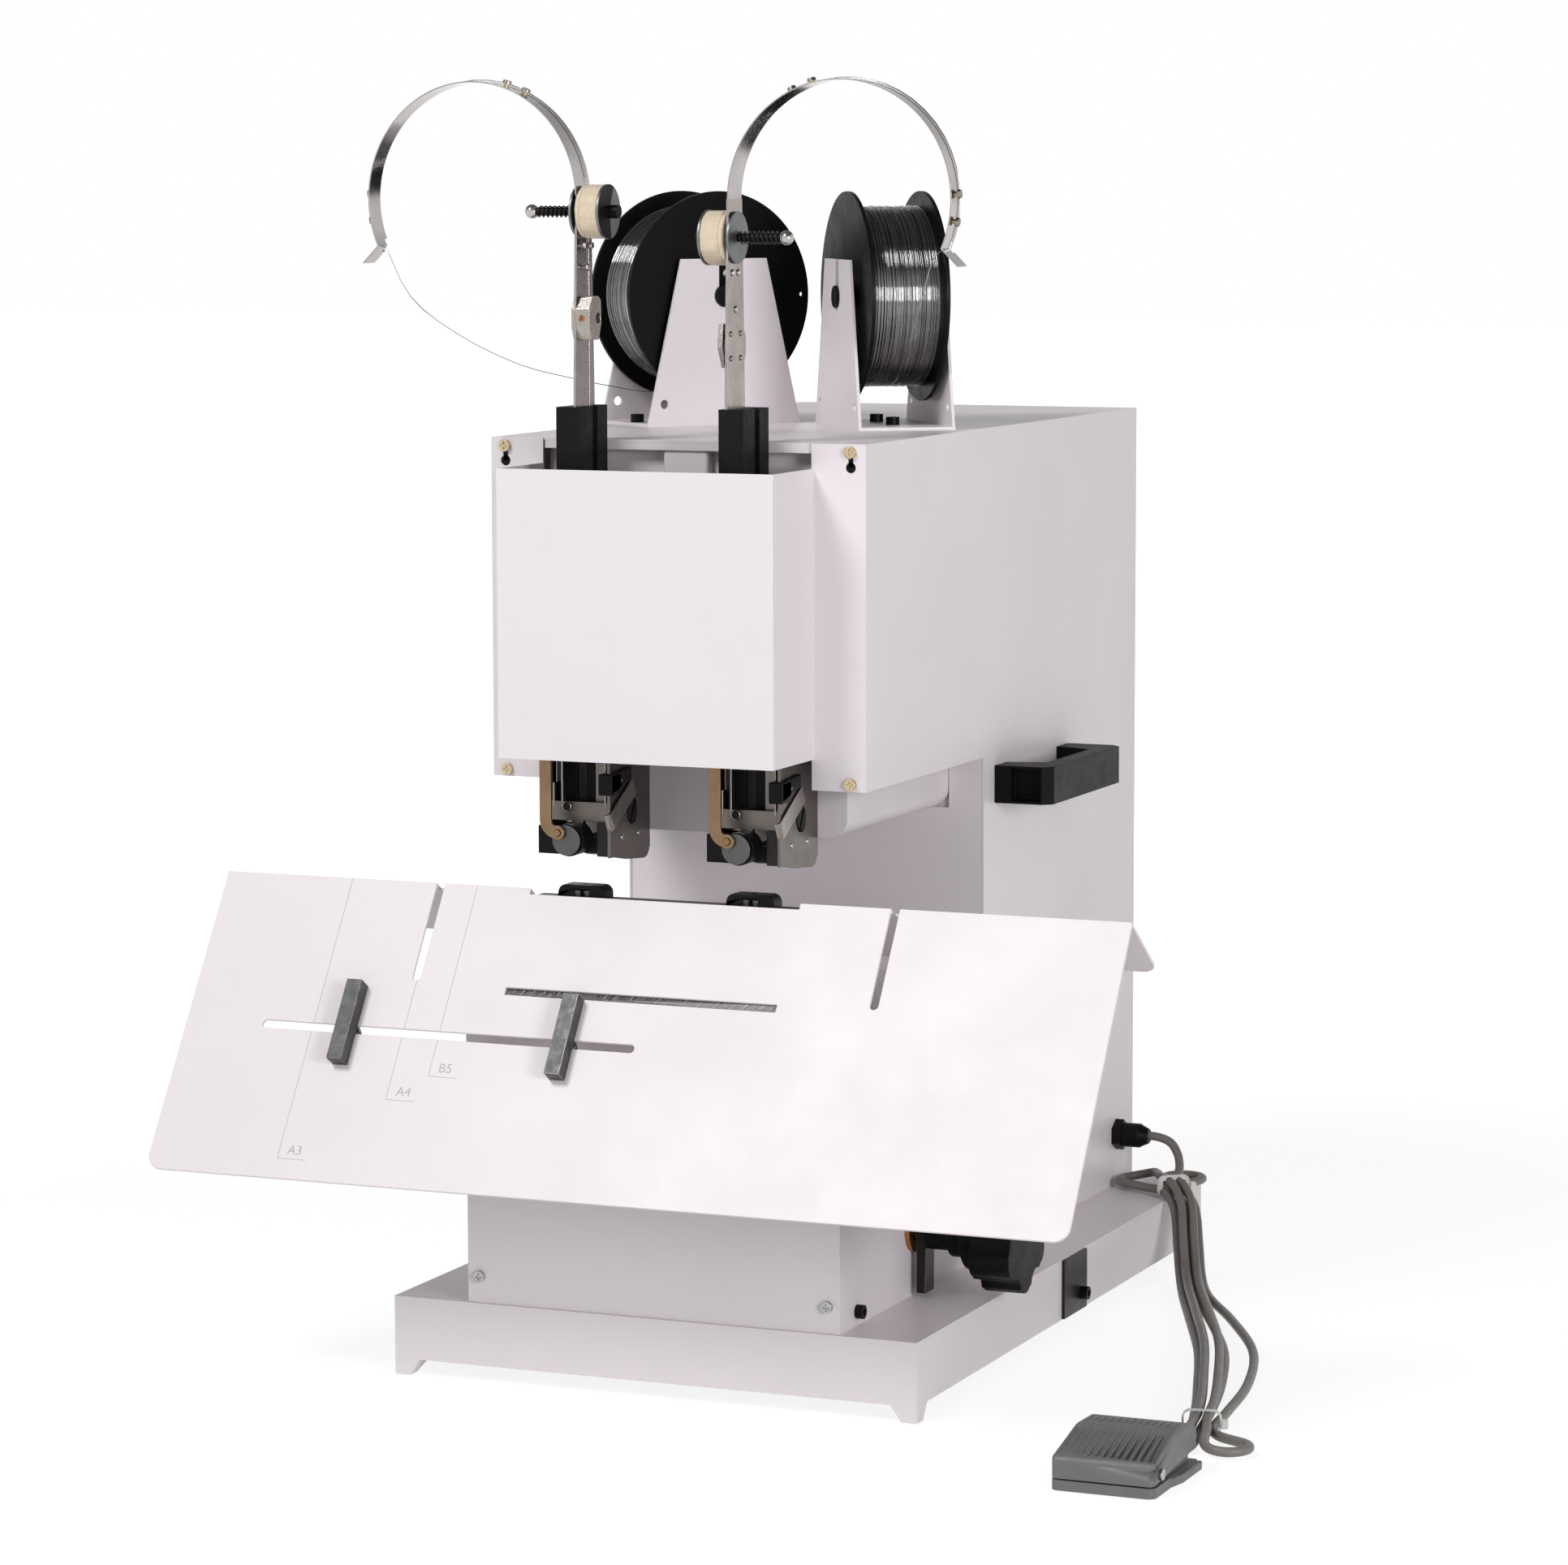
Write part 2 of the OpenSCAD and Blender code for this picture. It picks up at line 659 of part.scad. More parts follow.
module lower_cover() color("white")
  difference() {
    span([-house_x, lower_front, base_top], [house_x, column_y - sheet_gap, lower_top]);
    span([-house_x + sheet, lower_front + sheet, base_top - 1],
      [house_x - sheet, column_y, lower_top - sheet]);
    span([-guide_half - 1, adjuster_y - guide_half - 1, lower_top - sheet - 1],
      [guide_half + 1, adjuster_y + guide_half + 1, lower_top + 1]);
    translate([house_x - sheet - 1, adjuster_y, adjuster_z]) rod_x(bush_sleeve + screw_gap, sheet + 2);
    for (x = [-1, 1]) translate([x * lower_screw_x, lower_front - 1, lower_screw_z])
      rod_y(pan_shank[0] + screw_gap, sheet + 2);
    translate([house_x - sheet - 1, side_screw_y, side_screw_z])
      rod_x(socket_shank[0] + screw_gap, sheet + 2);
  }

module front_guard() color("white")
  difference() {
    union() {
      difference() {
        span([-guard_w / 2, guard_front, house_bottom + guard_lift],
          [guard_w / 2, house_front, house_top - guard_drop]);
        span([-guard_w / 2 + sheet, guard_front + sheet, house_bottom],
          [guard_w / 2 - sheet, house_front + 1, house_top]);
      }
      for (side = [LEFT, RIGHT]) on_side(side)
        span([guard_w / 2 - sheet, house_front - sheet, house_bottom], [house_x, house_front, house_top]);
    }
    guard_screw_places() translate([0, -sheet - 1, 0]) rod_y(pan_shank[0] + screw_gap, sheet + 2);
    for (x = [-1, 1])
      translate([x * guard_screw_x, house_front - sheet - 1, house_top - guard_screw_drop - keyhole_drop]) {
        rod_y(pan_head[0] - 0.4, sheet + 2);
        translate([-pan_shank[0] + 0.4, 0, 0]) cube([2 * pan_shank[0] - 0.8, sheet + 2, keyhole_drop]);
      }
  }

module guard_screws() color("darkgoldenrod")
  guard_screw_places() translate([0, -sheet, 0]) rotate([90, 0, 0]) pan_screw();

// Two screws low on the lower cover's front and four on the rear cover
module cover_screws() color("silver") {
  for (x = [-1, 1]) translate([x * lower_screw_x, lower_front, lower_screw_z]) rotate([90, 0, 0]) pan_screw();
  rear_screw_places() rotate([-90, 0, 0]) pan_screw();
}

module cap_screws() color("black") {
  translate([base_w / 2 + plate_t, plate_screw_y, plate_screw_z]) rotate([0, 90, 0]) socket_screw();
  translate([house_x, side_screw_y, side_screw_z]) rotate([0, 90, 0]) socket_screw();
  for (side = [LEFT, RIGHT]) {
    at_bracket(side) for (y = [-1, 1]) translate([0, y * bracket_screw_y, bracket_t]) socket_screw();
    on_side(side) handle_screw_places() translate([-sheet, 0, 0]) rotate([0, -90, 0]) socket_screw();
  }
}

// Carry handle: a bridge with two broad feet, screwed on from inside
module carry_handle(side) color("black") on_side(side) {
  l = handle_size[0];
  out = handle_size[2];
  foot = 2 * handle_foot;
  grip = out - handle_grip;
  difference() {
    translate([house_x, column_y + handle_back, handle_z - handle_size[1] / 2])
      linear_extrude(handle_size[1]) difference() {
        polygon([[0, 0], [out - 6, 0], [out, 6], [out, l - 6], [out - 6, l], [0, l]]);
        polygon([[-1, foot], [3, foot], [grip, foot + 8],
          [grip, l - foot - 8], [3, l - foot], [-1, l - foot]]);
      }
    handle_screw_places() translate([-1, 0, 0]) rod_x(socket_shank[0] + screw_gap, socket_shank[1] + 1);
  }
}
module carry_handle_left() carry_handle(LEFT);
module carry_handle_right() carry_handle(RIGHT);

// Saddle table

// Inner side of the bend: how far a parallel sheet's crease lies in front of the ridge, and its height
function crease(t) = let (
    d = (t / cos(table_angle) - t / cos(rear_angle)) / (tan(table_angle) + tan(rear_angle)))
  [ridge_y + d, ridge_z - t / cos(table_angle) + d * tan(table_angle)];
function down_front(s, t) = [ridge_y - s * cos(table_angle) + t * sin(table_angle),
  ridge_z - s * sin(table_angle) - t * cos(table_angle)];
function down_rear(s, t) = [ridge_y + s * cos(rear_angle) - t * sin(rear_angle),
  ridge_z - s * sin(rear_angle) - t * cos(rear_angle)];

// What a rounded corner takes away from the two lower corners of a slope: the round meets the edges at
// a slight angle
module corner_cuts(l)
  for (x = [-1, 1]) translate([x * (table_w / 2 - table_round), l - table_round]) difference() {
    translate([x > 0 ? 0 : -table_round - 1, 0]) square(table_round + 1);
    circle(table_round + 0.15);
  }

module front_cuts() {
  corner_cuts(table_len);
  translate([0, stop_slot_s]) round_slot(stop_slot[0], stop_slot[1], slot_w);
  translate([-notch_half, cross_slot_s - cross_slot_w / 2]) square([2 * notch_half, cross_slot_w]);
}

// The side slots run over the ridge, a little way down the rear slope
module side_slot_cuts()
  for (x = [-1, 1]) translate([x * side_slot_x, 0]) {
    translate([-slot_w / 2, -2 * table_t]) square([slot_w, side_slot_len - slot_w / 2 + 2 * table_t]);
    translate([0, side_slot_len - slot_w / 2]) circle(slot_w / 2);
  }

module saddle_table() color("white")
  difference() {
    along_x(table_w) polygon([down_front(table_len, 0), [ridge_y, ridge_z], down_rear(rear_len, 0),
      down_rear(rear_len, table_t), crease(table_t), down_front(table_len, table_t)]);
    on_front() translate([0, 0, -table_t]) linear_extrude(3 * table_t) front_cuts();
    on_front() translate([0, 0, -table_t]) linear_extrude(4 * table_t) side_slot_cuts();
    on_rear() translate([0, 0, -2 * table_t]) linear_extrude(3 * table_t) corner_cuts(rear_len);
    along_x(2 * notch_half) polygon([down_front(notch_s[0], 2 * table_t),
      down_front(notch_s[0], -2 * table_t), [ridge_y, ridge_z + 4 * table_t],
      down_rear(notch_s[1], -2 * table_t), down_rear(notch_s[1], 2 * table_t)]);
  }

// Two upright gussets with feet carry the table on the lower cover's roof
module table_brackets() color("gainsboro") {
  peak = crease(table_t + 0.05);
  front_edge = lower_front + 4;
  back_edge = ridge_y + gusset_reach;
  for (side = [LEFT, RIGHT]) on_side(side) {
    translate([house_x - 14, 0, 0]) along_x(3) polygon([[front_edge, lower_top],
      [front_edge, peak[1] - (peak[0] - front_edge) * tan(table_angle)], peak,
      [back_edge, peak[1] - (back_edge - peak[0]) * tan(rear_angle)], [back_edge, lower_top]]);
    span([house_x - 30, front_edge, lower_top], [house_x - 14, back_edge, lower_top + 3]);
  }
}

// Stop bar with its stud through the slot and its nut under the sheet
module stop_bar(side) color("dimgray") translate([stop_x[side], 0, 0]) on_front() {
  lift = 0.1;
  translate([-stop_size[0] / 2, stop_slot_s - stop_size[1] * 0.55, -stop_size[2] - lift])
    cube([stop_size[0], stop_size[1], stop_size[2]]);
  translate([0, stop_slot_s, -1]) cylinder(r = slot_w / 2 - 0.2, h = table_t + 7);
  translate([0, stop_slot_s, table_t + lift]) cylinder(r = 5.5, h = 5, $fn = 6);
}
module stop_bar_left() stop_bar(LEFT);
module stop_bar_right() stop_bar(RIGHT);

// Anvil: a guided stem on an eccentric carries the arm with the two clinchers

module anvil_guide() color("slategray")
  difference() {
    span([-guide_half, adjuster_y - guide_half, base_top], [guide_half, adjuster_y + guide_half, lower_top]);
    room = stem_half + slide_gap;
    span([-room, adjuster_y - room, adjuster_z], [room, adjuster_y + room, lower_top + 1]);
    reach = eccentric_r + eccentric_e + 1;
    span([-room, adjuster_y - reach, adjuster_z - reach], [room, adjuster_y + reach, adjuster_z + reach]);
    translate([-guide_half - 1, adjuster_y, adjuster_z]) rod_x(shaft_r + shaft_gap, 2 * guide_half + 2);
  }

module anvil_arm() color("slategray") {
  span([-stem_half, adjuster_y - stem_half, adjuster_z + eccentric_r + slide_gap],
    [stem_half, adjuster_y + stem_half, anvil_bottom]);
  span([-head_pitch / 2 - clincher_half, stitch_y - clincher_d / 2, anvil_bottom],
    [head_pitch / 2 + clincher_half, adjuster_y + stem_half, anvil_bottom + anvil_t]);
}

// Clincher: a black block with rounded shoulders and a small window for its wings
module clinchers() color("black")
  for (side = [LEFT, RIGHT]) at_head(side) difference() {
    foot = anvil_bottom + anvil_t;
    translate([0, stitch_y - clincher_d / 2, clincher_top]) mirror([0, 0, 1]) along_y(clincher_d)
      round_foot(2 * clincher_half, clincher_top - foot, 5);
    translate([0, stitch_y - clincher_d / 2 - 1, clincher_top - 9]) along_y(4)
      polygon([[-4, 0], [4, 0], [6, 6], [-6, 6]]);
    span([-1, stitch_y - 1, clincher_top - 3], [1, stitch_y + 1, clincher_top + 1]);
  }

module shaft_bush() color("peru")
  difference() {
    union() {
      translate([house_x, adjuster_y, adjuster_z]) rod_x(bush_flange[0], bush_flange[1]);
      translate([house_x - 14, adjuster_y, adjuster_z]) rod_x(bush_sleeve, 15);
    }
    translate([house_x - 16, adjuster_y, adjuster_z]) rod_x(shaft_r + shaft_gap, 30);
  }

// Shaft with its eccentric and the black bar that hangs outside the cover
module adjuster_shaft() color("dimgray") {
  bar_x = house_x + bush_flange[1] + 1.5;
  translate([-guide_half - 2, adjuster_y, adjuster_z])
    rod_x(shaft_r, guide_half + 2 + knob_start + shaft_in_knob);
  translate([-stem_half + 1, adjuster_y + eccentric_e, adjuster_z]) rod_x(eccentric_r, 2 * stem_half - 2);
  span([bar_x, adjuster_y - arm_bar[1] / 2, adjuster_z - arm_bar[2]],
    [bar_x + arm_bar[0], adjuster_y + arm_bar[1] / 2, adjuster_z]);
}

// Black knob: a collar, two steps and a lobed grip on the shaft
module adjuster_knob() color("black") {
  start = house_x + bush_flange[1] + 1.5 + arm_bar[0] + 0.5;
  difference() {
    union() {
      translate([start, adjuster_y, adjuster_z]) rod_x(collar_r, collar_end - start);
      translate([collar_end, adjuster_y, adjuster_z]) rod_x(collar_r + 3.5, 11);
      translate([collar_end + 11, adjuster_y, adjuster_z])
        rod_x(collar_r + 10.5, knob_start - collar_end - 10);
      translate([knob_start + knob_len / 2, adjuster_y, adjuster_z]) along_x(knob_len) knob_outline();
    }
    translate([start - 1, adjuster_y, adjuster_z])
      rod_x(shaft_r + 0.02, knob_start + shaft_in_knob + 1 - start);
  }
}

// Six lobes round a hub
module knob_outline() {
  lobe_r = 10;
  difference() {
    circle(knob_r - 2);
    for (a = [0:60:300]) rotate(a) translate([knob_r + 3, 0]) circle(lobe_r);
  }
  for (a = [30:60:330]) rotate(a) translate([knob_r - lobe_r, 0]) circle(lobe_r);
}

// Heads

module head_frame(side) color("silver") at_head(side) {
  top = head_bottom + head_h;
  bar_front = guide_front - 8;
  bar_back = guide_front - 4;
  block_low = head_bottom + 1;
  difference() {
    union() {
      span([-head_half, arm_front - 6, head_bottom], [head_half, arm_front, top]);
      span([head_half - head_plate, bar_front - 4.5, head_bottom], [head_half, arm_front - 6, top]);
      span([-head_half, guide_front + 4, head_bottom + 16], [-head_half + head_plate, arm_front - 6, top]);
      span([-guide_x, guide_front + guide_d, head_bottom + 30], [guide_x, arm_front - 6, head_bottom + 60]);
      span([-head_half + 6, bar_front, bracket_z[0]], [head_half - head_plate, bar_back, bracket_z[1]]);
      translate([turner_x, turner_front + turner_disc_t + slide_gap, turner_z]) rod_y(turner_r, turner_len);
      span([turner_x - 4, bar_front, turner_z + 8], [turner_x + 4, bar_back, bracket_z[0] + 1]);
      span([-head_half, bar_front - 4, block_low], [turner_x + 1 - turner_r, bar_back, block_low + 17]);
      span([-head_half, bar_front - 4, block_low], [-head_half / 2, guide_front + 10, block_low + 17]);
    }
    translate([turner_x, turner_front, turner_z]) rod_y(turner_shaft_r + shaft_gap, 30);
    translate([head_half - head_plate - 1, guide_front + 20, head_bottom + 25.5]) rod_x(8, head_plate + 2);
  }
}
module head_frame_left() head_frame(LEFT);
module head_frame_right() head_frame(RIGHT);

// Black post: a slotted driver guide below and a broad bar above with a groove down its right side
module head_post(side) color("black") {
  inward = -side_sign(side) * post_in;
  shoulder = ram_top + 2;
  half = ram_size[0] / 2 + slide_gap;
  at_head(side) difference() {
    span([-guide_x, guide_front, guide_bottom], [guide_x, guide_front + guide_d, shoulder]);
    span([-half, guide_front - 1, guide_bottom - 1], [half, ram_y + ram_size[1] + slide_gap, shoulder + 1]);
    span([-half, guide_front, nose_z - ram_stroke - tail_half - 3],
      [half, guide_front + guide_d + 1, shoulder + 1]);
  }
  post_top = house_top + post_rise;
  difference() {
    at_head(side) translate([inward, post_back, 0]) difference() {
      span([-post_size[0] / 2, -post_size[1], shoulder], [post_size[0] / 2, 0, post_top]);
      span([post_size[0] / 2 - 5, -post_size[1] + 18, shoulder + 8],
        [post_size[0] / 2 + 1, -post_size[1] + 25, post_top + 1]);
    }
    strip = [mast_t, mast_w[0]] / 2 + [screw_gap, screw_gap];
    on_side(side) {
      span([mast_x - strip[0], mast_y - strip[1], mast_foot - screw_gap],
        [mast_x + strip[0], mast_y + strip[1], post_top + 1]);
      span([wire_x - wire_gap, wire_y - wire_gap, mast_foot - screw_gap],
        [mast_x, wire_y + wire_gap, post_top + 1]);
    }
  }
}
module head_post_left() head_post(LEFT);
module head_post_right() head_post(RIGHT);

// Driver: an upright bar whose tail takes the rocker's nose in an open slot
module head_ram(side) color("dimgray") at_head(side) {
  half = ram_size[0] / 2;
  span([-half, ram_y, ram_bottom], [half, ram_y + ram_size[1], ram_top]);
  difference() {
    span([-half, ram_y + ram_size[1] - 1, nose_z - tail_half], [half, nose_y + 7, nose_z + tail_half]);
    slot = nose_r + slide_gap;
    span([-half - 1, nose_y - 7, nose_z - slot], [half + 1, nose_y + 8, nose_z + slot]);
  }
}
module head_ram_left() head_ram(LEFT);
module head_ram_right() head_ram(RIGHT);

// Wire turner: a disc with a journal behind it and a pin in front for the feed bar
module wire_turner(side) color("gray") at_head(side) translate([turner_x, turner_front, turner_z]) {
  rod_y(turner_r - 0.8, turner_disc_t);
  rod_y(turner_shaft_r, turner_disc_t + turner_len);
  translate([turner_pin[0], -feed_size[1] - 1.4, turner_pin[1]]) rod_y(2, feed_size[1] + 2);
}
module wire_turner_left() wire_turner(LEFT);
module wire_turner_right() wire_turner(RIGHT);

// Brass feed bar: upright, then curved in to the turner's pin
module feed_bar(side) color("peru") at_head(side)
  translate([turner_x + turner_pin[0], turner_front - feed_size[1] - 0.4, turner_z + turner_pin[1]]) {
    bend = 8;
    half = feed_size[0] / 2;
    along_y(feed_size[1]) difference() {
      union() {
        circle(half + 0.6);
        intersection() {
          translate([0, bend]) difference() {
            circle(bend + half);
            circle(bend - half);
          }
          translate([-bend - half - 1, -half - 1]) square([bend + half + 1, bend + half + 1]);
        }
        translate([-bend - half, bend - 0.01]) square([feed_size[0], 66]);
      }
      circle(2 + shaft_gap);
    }
  }
module feed_bar_left() feed_bar(LEFT);
module feed_bar_right() feed_bar(RIGHT);

// Wire feed on the posts

function felt_z(side) = house_top + felt_rise[side];
function block_z(side) = house_top + block_rise[side];

// Flat strip, broad at its foot, with the bolt's hole
module wire_mast(side) color("silver") on_side(side)
  difference() {
    translate([mast_x, 0, 0]) along_x(mast_t) polygon([[mast_y - mast_w[0] / 2, mast_foot],
      [mast_y + mast_w[0] / 2, mast_foot], [mast_y + mast_w[0] / 2, house_top + post_rise + 10],
      [mast_y + mast_w[1] / 2, arc_z], [mast_y - mast_w[1] / 2, arc_z],
      [mast_y - mast_w[0] / 2, house_top + post_rise + 10]]);
    translate([mast_x - mast_t, bolt_y, felt_z(side)]) rod_x(bolt_r + screw_gap, 2 * mast_t);
    for (y = block_screws, z = block_screws) translate([mast_x - mast_t, mast_y + y, block_z(side) + z])
      rod_x(small_screw[0] + screw_gap, 2 * mast_t);
  }
module wire_mast_left() wire_mast(LEFT);
module wire_mast_right() wire_mast(RIGHT);

// Spring strip that curls out from the mast's head and narrows towards its bent tip for the wire
module tension_arc(side) color("silver") on_side(side) {
  at = [arc_x, mast_y, arc_z];
  tip = arc_sweep - 180;
  reach = arc_x + arc_r + arc_tip;
  bend = at + arc_r * [cos(tip), 0, -sin(tip)];
  difference() {
    intersection() {
      arc_strip(at, tip, bend);
      root = mast_x - arc_t;
      translate([0, mast_y, arc_z - 2 * arc_r]) linear_extrude(4 * arc_r)
        polygon([[root, -arc_w[0] / 2], [reach, -arc_w[1] / 2], [reach, arc_w[1] / 2], [root, arc_w[0] / 2]]);
    }
    span([bend[0] - 9, wire_y - 1, bend[2] - 9], [bend[0] + 3, wire_y + arc_w[0], bend[2] + 4]);
  }
}
module arc_strip(at, tip, bend) {
  translate(at) rotate([90, 0, 0]) rotate([0, 0, -tip]) translate([0, 0, -arc_w[0] / 2])
    rotate_extrude(angle = arc_sweep) translate([arc_r - arc_t / 2, 0]) square([arc_t, arc_w[0]]);
  translate(bend) rotate([0, 45, 0]) translate([-0.4, -arc_w[0] / 2, -arc_t / 2])
    cube([arc_tip, arc_w[0], arc_t]);
}
module tension_arc_left() tension_arc(LEFT);
module tension_arc_right() tension_arc(RIGHT);

// Chamfered block with its wire hole and two grub screws, on the mast's inner face
module straighteners() color("silver")
  for (side = [LEFT, RIGHT]) on_side(side) {
    face = mast_x - mast_t / 2;
    back = face - block_size[0];
    chamfer = 3.5;
    translate([0, mast_y - block_size[1] / 2, block_z(side) - block_size[2] / 2]) difference() {
      along_y(block_size[1]) polygon([[face, 0], [face, block_size[2]], [back + chamfer, block_size[2]],
        [back, block_size[2] - 2 * chamfer], [back, 2 * chamfer], [back + chamfer, 0]]);
      translate([face - 2 * wire_gap, block_size[1] / 2 + wire_y - mast_y - wire_gap, -1])
        cube([2, 2 * wire_gap, block_size[2] + 2]);
      translate([back - 1, block_size[1] / 2, block_size[2] / 2]) rod_x(2.6, 5);
      translate([face - 6, -1, block_size[2] / 2]) rod_y(2, 4);
    }
    for (y = block_screws, z = block_screws) translate([face - 1, mast_y + y, block_z(side) + z])
      rod_x(small_screw[0], mast_t + 1 + small_screw[1] / 2);
  }

module felt_discs() color("burlywood")
  for (side = [LEFT, RIGHT]) on_side(side) difference() {
    translate([felt_face - felt_t, bolt_y, felt_z(side)]) rod_x(felt_r, felt_t);
    translate([felt_face - felt_t - 1, bolt_y, felt_z(side)]) rod_x(bolt_r + screw_gap, felt_t + 2);
  }

// Bolt with an end nut and washer inside, and a washer and cap nut outside the spring
module tension_bolts() color("gray")
  for (side = [LEFT, RIGHT]) on_side(side) translate([0, bolt_y, felt_z(side)]) {
    inner = felt_face - felt_t;
    outer = mast_x + mast_t / 2 + washer_gap;
    cap = outer + washer_t + spring_len + 2 * spring_wire + 0.4;
    translate([inner - washer_t, 0, 0]) rod_x(felt_r, washer_t);
    translate([inner - washer_t - nut_t, 0, 0]) rod_x(4, nut_t);
    translate([inner - 1, 0, 0]) rod_x(bolt_r, cap + 1 - inner);
    translate([outer, 0, 0]) rod_x(felt_r - 1, washer_t);
    translate([cap, 0, 0]) rotate([0, 90, 0]) cylinder(r = 4.2, h = 4, $fn = 6);
    translate([cap + 4, 0, 0]) rod_x(3.4, 3);
  }

// Coil spring round each bolt, with straight ends
function spring_path(side) = let (
    x0 = mast_x + mast_t / 2 + washer_gap + washer_t + spring_wire / 2 + 0.2,
    rise = (spring_len + spring_wire) / spring_curls)
  [for (k = [0:8 * spring_curls]) let (a = 45 * k)
    [x0 + rise * k / 8, bolt_y + spring_r * cos(a), felt_z(side) + spring_r * sin(a)]];
module tension_springs() color("black")
  for (side = [LEFT, RIGHT]) on_side(side)
    tube(straight_ends(spring_path(side), spring_wire), spring_wire / 2, 6);

// Stitching wire: from the spool to the arc's tip, round the arc, down the mast and into the post
// Slack points hold their heights above the housing's top
slack_left = [[91, -10, 21], [105, -40, 25], [121, -74, 32], [138, -109, 41], [160, -154, 62],
  [175, -185, 85]];
slack_right = [[76, -12, 32], [88, -33, 43], [122, -93, 77], [152, -147, 109]];
function spool_leave(side) = let (v = 20) [abs(bracket_x[side]) + v * sin(bracket_turn),
  bracket_y - v * cos(bracket_turn), house_top + axle_rise - sqrt(wound_r * wound_r - v * v) - wire_d];
function wire_path(side) = let (
    r = arc_x - wire_x,
    tip = arc_sweep - 180,
    loose = [for (p = side == LEFT ? slack_left : slack_right) p + [0, 0, house_top]],
    slack = concat([spool_leave(side)], loose),
    over_tip = [arc_x + r * cos(tip), wire_y, arc_z - r * sin(tip)])
  concat(smooth(concat(slack, [over_tip]), 3),
    [for (k = [1:26]) let (a = -tip + arc_sweep * k / 26) [arc_x + r * cos(a), wire_y, arc_z + r * sin(a)]],
    [for (z = [arc_z - 20, house_top + post_rise + 12, mast_foot + 2]) [wire_x, wire_y, z]]);
module stitch_wire(side) color("silver") on_side(side) tube(wire_path(side), wire_d / 2, 8);
module stitch_wire_left() stitch_wire(LEFT);
module stitch_wire_right() stitch_wire(RIGHT);

// Spools

// Bent sheet with two tapered cheeks, open keyholes for the axle and holes at the feet
module spool_bracket(side) color("white") at_bracket(side) {
  difference() {
    span([-bracket_w / 2, -cheek_len[0] / 2, 0], [bracket_w / 2, cheek_len[0] / 2, bracket_t]);
    for (y = [-1, 1]) translate([0, y * bracket_screw_y, -1])
      cylinder(r = socket_shank[0] + screw_gap, h = 9);
  }
  for (x = [-1, 1]) translate([x * (bracket_w - bracket_t) / 2, 0, 0]) difference() {
    along_x(bracket_t) polygon([[-cheek_len[0] / 2, 0], [cheek_len[0] / 2, 0],
      [cheek_len[1] / 2, cheek_h], [-cheek_len[1] / 2, cheek_h]]);
    translate([-bracket_t, 0, axle_rise]) rod_x(axle_r + 0.1, 2 * bracket_t);
    span([-bracket_t, -axle_r * 0.55, axle_rise], [bracket_t, axle_r * 0.55, cheek_h + 1]);
    for (y = [-1, 1]) translate([-bracket_t, y * (cheek_len[0] / 2 - 12), 14]) rod_x(2.9, 2 * bracket_t);
  }
}
module spool_bracket_left() spool_bracket(LEFT);
module spool_bracket_right() spool_bracket(RIGHT);

module spool_axles() color("black")
  for (side = [LEFT, RIGHT]) at_bracket(side)
    translate([-bracket_w / 2 - 2, 0, axle_rise]) rod_x(axle_r, bracket_w + 4);

// Flanged spool with a bore for the axle and a small hole to tie the wire
module spool(side) color("black") at_bracket(side) translate([-spool_w / 2, 0, axle_rise])
  difference() {
    union() {
      rod_x(flange_r, flange_t);
      rod_x(core_r, spool_w);
      translate([spool_w - flange_t, 0, 0]) rod_x(flange_r, flange_t);
    }
    translate([-1, 0, 0]) rod_x(axle_r + axle_gap, spool_w + 2);
    translate([-1, flange_r - 5, 0]) rod_x(1.5, spool_w + 2);
  }
module spool_left() spool(LEFT);
module spool_right() spool(RIGHT);

// Wound wire: a plain core with the outer layer laid round it as one strand
function winding_path() = let (
    r = wound_r - wind_strand,
    start = -wind_pitch * wind_loops / 2)
  [for (k = [0:wind_loops * wind_rings]) let (a = 360 * k / wind_rings)
    [start + wind_pitch * k / wind_rings, r * cos(a), r * sin(a)]];
module winding(side) color("gainsboro") at_bracket(side) translate([0, 0, axle_rise]) {
  inside = (wound_r - wind_strand) * cos(180 / wind_rings) - wind_strand - 0.05;
  half = spool_w / 2 - flange_t - 0.1;
  difference() {
    translate([-half, 0, 0]) rod_x(inside, 2 * half);
    translate([-half - 1, 0, 0]) rod_x(core_r + 0.1, 2 * half + 2);
  }
  tube(straight_ends(winding_path(), 2 * wind_strand), wind_strand, 6);
}
module winding_left() winding(LEFT);
module winding_right() winding(RIGHT);

// Drive inside the column

// Gear motor on the frame's right cheek: the box takes the cam's shaft
module drive_motor() color("darkslategray")
  difference() {
    right = frame_x - frame_wall;
    middle = [(gear_box[0] + right) / 2, cam_y, cam_z];
    union() {
      span([gear_box[0], cam_y - gear_box[1] / 2, cam_z - gear_box[2] / 2],
        [right, cam_y + gear_box[1] / 2, cam_z + gear_box[2] / 2]);
      translate(middle - [0, 0, gear_box[2] / 2 + motor_len])
        cylinder(r = (right - gear_box[0]) / 2, h = motor_len + 1);
      translate(middle - [0, 0, gear_box[2] / 2 + motor_len + motor_cap]) cylinder(r = 9, h = 2 * motor_cap);
    }
    translate([gear_box[0] - 1, cam_y, cam_z]) rod_x(motor_bore_r + shaft_gap, 42);
  }

// Cam radius over its turn: a steady rise over half a turn, then a steady return and a rest
function cam_radius(a) = cam_r + cam_lift * (a <= 180 ? a / 180 : max(330 - a, 0) / 150);

module cam_shaft() color("darkgray") translate([0, cam_y, cam_z]) {
  along_x(2 * cam_half) polygon([for (a = [0:5:355]) cam_radius(a) * [sin(a), cos(a)]]);
  translate([-frame_x, 0, 0]) rod_x(cam_shaft_r, frame_x + gear_box[0] - 4);
  translate([gear_box[0] - 5, 0, 0]) rod_x(motor_bore_r, 44);
}

